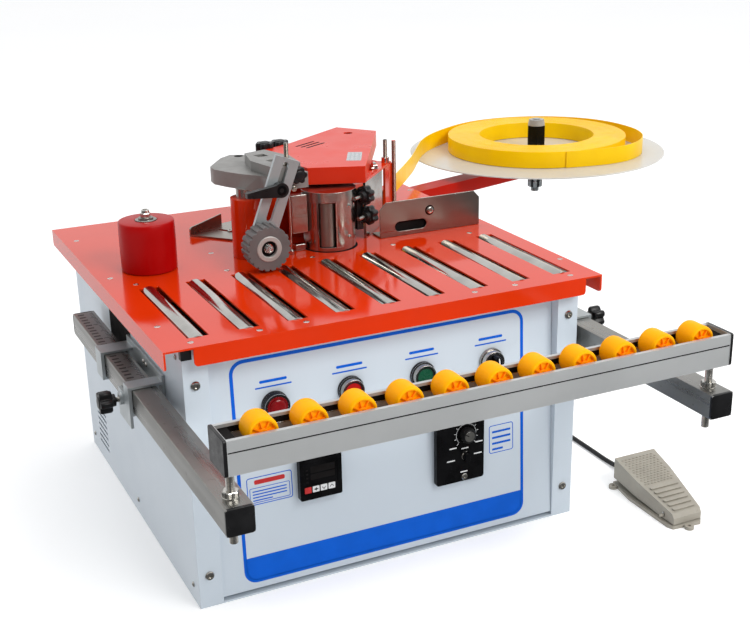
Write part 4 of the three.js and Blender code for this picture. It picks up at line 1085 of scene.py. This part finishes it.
def press_wheel():
    """A toothed rubber tyre, its hub with a sunk face painted dark as shade, and the head of its bolt."""
    lo, hi = extent("press_wheel")
    c, r = middle("press_wheel"), (hi.z - lo.z) / 2
    tooth = ((0.0, 0.925), (0.10, 0.925), (0.28, 1.0), (0.80, 1.0), (0.92, 0.925))
    count = 20
    teeth = [polar(r * k, math.tau * (i + part) / count) for i in range(count) for part, k in tooth]
    bore = [polar(9.35, a) for a in circle(len(teeth))]
    b = Build().ring(teeth, bore, upright(Vector((c.x, mm(hi.y), c.z))), hi.y - lo.y)
    b.stands_for("press_wheel", RUBBER, bevel=0.45, angle=35)
    face = Vector((c.x, mm(lo.y), c.z))
    hub = [(9.2, -3.9), (9.2, 0.35), (9.9, 0.9), (13.8, 0.9), (14.7, 0.3), (14.7, -0.2), (9.8, -3.9)]
    Build().lathe(hub + hub[:1], face, OUT, 48).done("wheel_hub", HUB, "wheel", angle=24)
    # a dark ring painted as shade in the hub's sunk face
    Build().lathe(washer(9.3, 4.4, -3.95, -3.6), face, OUT, 32).done("wheel_hub_recess_shade", DARK, "wheel")
    head = Vector((c.x, low("wheel_lever").y, c.z)) + mm(0, 4.0, 0)
    b = Build().hex_nut(head, OUT, 8.0, 3.9)
    b.lathe([(0, 3.8), (3.4, 3.8), (3.1, 4.4), (1.9, 4.5), (1.7, 3.9), (0, 3.8)], head, OUT, 24)
    b.lathe(rod(5.4, -0.6, 0.1), head, OUT, 32)
    b.done("wheel_bolt_head", BRIGHT, "lever", angle=25)


def handles():
    """The clamp handle, the star knob behind it and the nut beside them."""
    refine("clamp_lever", BLACK, 1.6, segments=3)
    rim = [(0, -0.1), (5.6, -0.1), (5.6, 0.5), (3.0, 0.7), (2.6, -0.05), (0, -0.05)]
    Build().lathe(rim, mm(-46, -46, 384.3), OUT, 28).done("clamp_hub_ring", GLOSS_BLACK, BODY["clamp_lever"])
    c = middle("lever_knob") / MM
    at = mm(c.x, -21.2, c.z)
    b = Build().star_knob(at, OUT, 10.3, 6, 8.4, 0.22)
    b.lathe([(0, 17.5), (2.9, 17.5), (2.9, -0.3), (0, -0.3)], at, BACK, 18)
    b.stands_for("lever_knob", BLACK, bevel=0.5, angle=40)
    at = mm(-27.3, -31.2, 382.4)
    b = Build().hex_nut(at, OUT, 7.0, 5.0)
    b.lathe([(0, 5), (2.4, 5), (2.2, 6.2), (0, 6.4)], at, OUT, 18)
    b.done("boss_nut", BRIGHT, "swing_arm", angle=25)


swing_arm()
refine("wheel_lever", ZINC, 0.7)
press_wheel()
handles()


# ---------------- fence, corner guide, pressure roller, tape guide
def fence():
    refine("edge_fence", STAINLESS, 0.35)
    x, z, r = 166.4, 323, 4.9
    b = Build().screw(mm(x, 2.9, z), OUT, r, 3.3)
    for foot_x in (128, 208):
        b.screw(mm(foot_x, 15, TABLE + 1.9), UP, 3.6, 2.0)
    b.done("fence_screws", BRIGHT)
    # a dark ring painted as shade in the gap round the screw
    Build().lathe(washer(6.3, r, 0, 0.12), mm(x, 3, z), OUT, 36).done("fence_screw_gap_shade", DARK)
    Build().box((116.5, 170), (7.2, 7.8), (TABLE + 2.2, 318)).done("fence_slot_shade", DARK)


def corner_guide():
    refine("corner_guide", STAINLESS, 0.3)
    Build().screw(mm(-54.5, 120, TABLE + 1.9), UP, 3.4, 2.2).done("corner_guide_screw", BRIGHT)


def pressure_roller():
    lo, hi = extent("pressure_roller")
    at, r, z0, z1 = axis_of("pressure_roller"), (hi.x - lo.x) / 2, lo.z, hi.z
    side = [(5.2, z0), (r - 1.4, z0), (r - 0.3, z0 + 1.2), (r - 0.15, z0 + 12), (r, (z0 + z1) / 2),
            (r - 0.15, z1 - 10), (r - 0.3, z1 - 1.6), (r - 1.0, z1 - 0.5), (r - 2.4, z1 - 0.05)]
    top = [(13.5, z1), (12.6, z1 - 0.8), (5.2, z1 - 0.8), (5.2, z0)]
    Build().lathe(side + top, at, UP, 72).stands_for("pressure_roller", PU, angle=40)
    plate = [(0, -1), (12.2, -1), (12.2, 0.5), (11.4, 1.0), (8.6, 1.0), (8.4, 2.8), (0, 2.8)]
    Build().lathe(plate, at + mm(0, 0, z1)).done("roller_washer", ARM_STEEL, "pressure_roller", angle=28)
    head = at + mm(0, 0, z1 + 2.8)
    b = Build().hex_nut(head, UP, 10.2, 5.4)
    b.lathe([(0, 5), (4.6, 5), (4.6, 8.0), (4.0, 8.9), (2.6, 9.0), (2.4, 7.4), (0, 7.3)], head, UP, 24)
    b.done("roller_bolt", BRIGHT, "pressure_roller", angle=25)


def tape_guide():
    refine("tape_guide", RED, 0.4)
    b = Build().lathe(thread(301, 394.4, 2.8), mm(162, 92.3, 0), UP, 18)
    b.hex_nut(mm(162, 92.3, 299), UP, 8.4, 4.6).done("tape_guide_rod", ROD, angle=25)


fence()
corner_guide()
pressure_roller()
tape_guide()

# ---------------- tape supply
TAPE_AXIS = axis_of("tape_disc")
CORE_R, TURNS = 87.0, 44                    # the coil's bore, and the turns that its face shows


def spindle():
    refine("tape_spindle", BLACK, 0.6)
    sleeve = place(TAPE_AXIS + mm(0, 0, 310.4), RIGHT, BACK)
    Build().prism(hexagon(25.6), sleeve, 36.7).done("spindle_sleeve", GLOSS_BLACK, bevel=0.8)
    cap = [(0, 347.1), (12.6, 347.1), (12.6, 351), (11.8, 353), (11.8, 355.4), (10.8, 356.3), (6.2, 356.4),
           (6, 355.6), (0, 355.6)]
    Build().lathe(cap, TAPE_AXIS).done("spindle_cap", HUB, angle=28)
    b = Build()
    for z, flats, thick in ((355.5, 9.4, 2.2), (261.9, 19.4, 10.3), (251.8, 19.4, 9.6)):
        b.hex_nut(TAPE_AXIS + mm(0, 0, z), UP, flats, thick)
    b.lathe(rod(12.4, 271.5, 274.3), TAPE_AXIS, UP, 36)
    b.lathe(thread(244.9, 252.5, 6.1, 1.25, 0.4), TAPE_AXIS, UP, 24)
    b.done("spindle_fixings", ZINC, angle=25)


def tape_disc():
    lo, hi = extent("tape_disc")
    r, bore, round_by = (hi.x - lo.x) / 2, 13.2, 0.6
    profile = [(bore, lo.z), (r - round_by, lo.z), (r, lo.z + round_by), (r, hi.z - round_by),
               (r - round_by, hi.z), (bore, hi.z), (bore, lo.z)]
    Build().lathe(profile, TAPE_AXIS, UP, 160).stands_for("tape_disc", DISC)


def tape_roll():
    """The coil, whose upper face shows each turn of the tape a little higher or lower."""
    lo, hi = extent("tape_roll")
    outer = (hi.x - lo.x) / 2
    step = (outer - CORE_R) / TURNS
    profile = [(CORE_R, lo.z + 0.2)]
    for i in range(TURNS):
        r = CORE_R + step * i
        top = hi.z + 0.10 * math.sin(i * 2.4) + 0.12 * math.sin(i * 0.37 + 1.0)
        profile += [(r + 0.04, top - 0.45), (r + 0.14, top - 0.22), (r + step - 0.14, top - 0.22),
                    (r + step - 0.04, top - 0.45)]
    profile += [(outer, lo.z + 0.2), (CORE_R, lo.z + 0.2)]
    Build().lathe(profile, TAPE_AXIS, UP, 144).stands_for("tape_roll", TAPE, angle=30)


# the tape arm in darker red, painted shade from the disc above it
refine("tape_arm", RED_PAINTED_SHADE, 0.8)
spindle()
tape_disc()
tape_roll()
refine("tape_lead", TAPE)

# ---------------- foot pedal
TREAD_BACK, TREAD_FRONT = (-199, 36), (-318, 17.5)          # top of the tread in y and z
TREAD_SLOPE = (TREAD_BACK[1] - TREAD_FRONT[1]) / (TREAD_BACK[0] - TREAD_FRONT[0])
TREAD_LEFT = ((315, -199), (311, -250), (310, -322))        # outline of the tread's sides in x and y
TREAD_RIGHT = ((374, -199), (368, -240), (349, -322))


def tread_edge(side, y):
    """Where a side of the tread's top lies at a depth."""
    for (xa, ya), (xb, yb) in zip(side, side[1:]):
        if yb <= y <= ya:
            return xa + (xb - xa) * (y - ya) / (yb - ya)


def tread_place(y):
    """The slope of the tread's top at a depth."""
    z = TREAD_FRONT[1] + TREAD_SLOPE * (y - TREAD_FRONT[0])
    return place(mm(0, y, z), RIGHT, (0, 1, TREAD_SLOPE))


def tread_bars():
    b = Build()
    for i in range(6):
        y = -312 + 8.6 * i
        x0, x1 = tread_edge(TREAD_LEFT, y), tread_edge(TREAD_RIGHT, y)
        b.prism(round_rect(x0 + 5, x1 - 5, -2.4, 2.4, 2.3, 5), tread_place(y), 2.0)
    b.done("tread_bars", BEIGE, "pedal", bevel=0.55, segments=3)


def tread_bumps():
    """Rows of low oval bumps, each row half a bump beside the last."""
    oval = [(2.1 * math.cos(a), 1.15 * math.sin(a)) for a in circle(10)]
    count = 9
    b = Build()
    for row in range(13):
        y = -259 + 4.3 * row
        x0, x1 = tread_edge(TREAD_LEFT, y), tread_edge(TREAD_RIGHT, y)
        gap = (x1 - x0 - 10) / count
        for k in range(count):
            x = x0 + 5 + gap * (k + 0.5 + (0.25 if row % 2 else -0.25))
            spot = tread_place(y) @ Matrix.Translation((mm(x), 0, 0))
            b.stepped(oval, spot, ((1.0, -0.15), (0.92, 0.7), (0.6, 1.25)), 1)
    b.done("tread_bumps", BEIGE, "pedal", angle=60)


def pivot_screws():
    b = Build().screw(mm(309.9, -303, 11), LEFT, 2.6, 1.0)
    b.screw(mm(353.4, -303, 11), RIGHT, 2.6, 1.0).done("pedal_pivot_screws", BRIGHT)


refine("pedal_base", BEIGE, 0.5)
refine("pedal_tread", BEIGE, 1.2, segments=3)
tread_bars()
tread_bumps()
pivot_screws()


# ---------------- floor
def studio_floor():
    corners = [(-40000, -40000), (40000, -40000), (40000, 60000), (-40000, 60000)]
    slab = Build().prism(corners, level(-20), 20)
    data = bpy.data.meshes.new("floor")
    slab.bm.to_mesh(data)
    slab.bm.free()
    data.materials.append(FLOOR)
    ob = bpy.data.objects.new("floor", data)
    bpy.context.scene.collection.objects.link(ob)
    ob.visible_glossy = False


studio_floor()
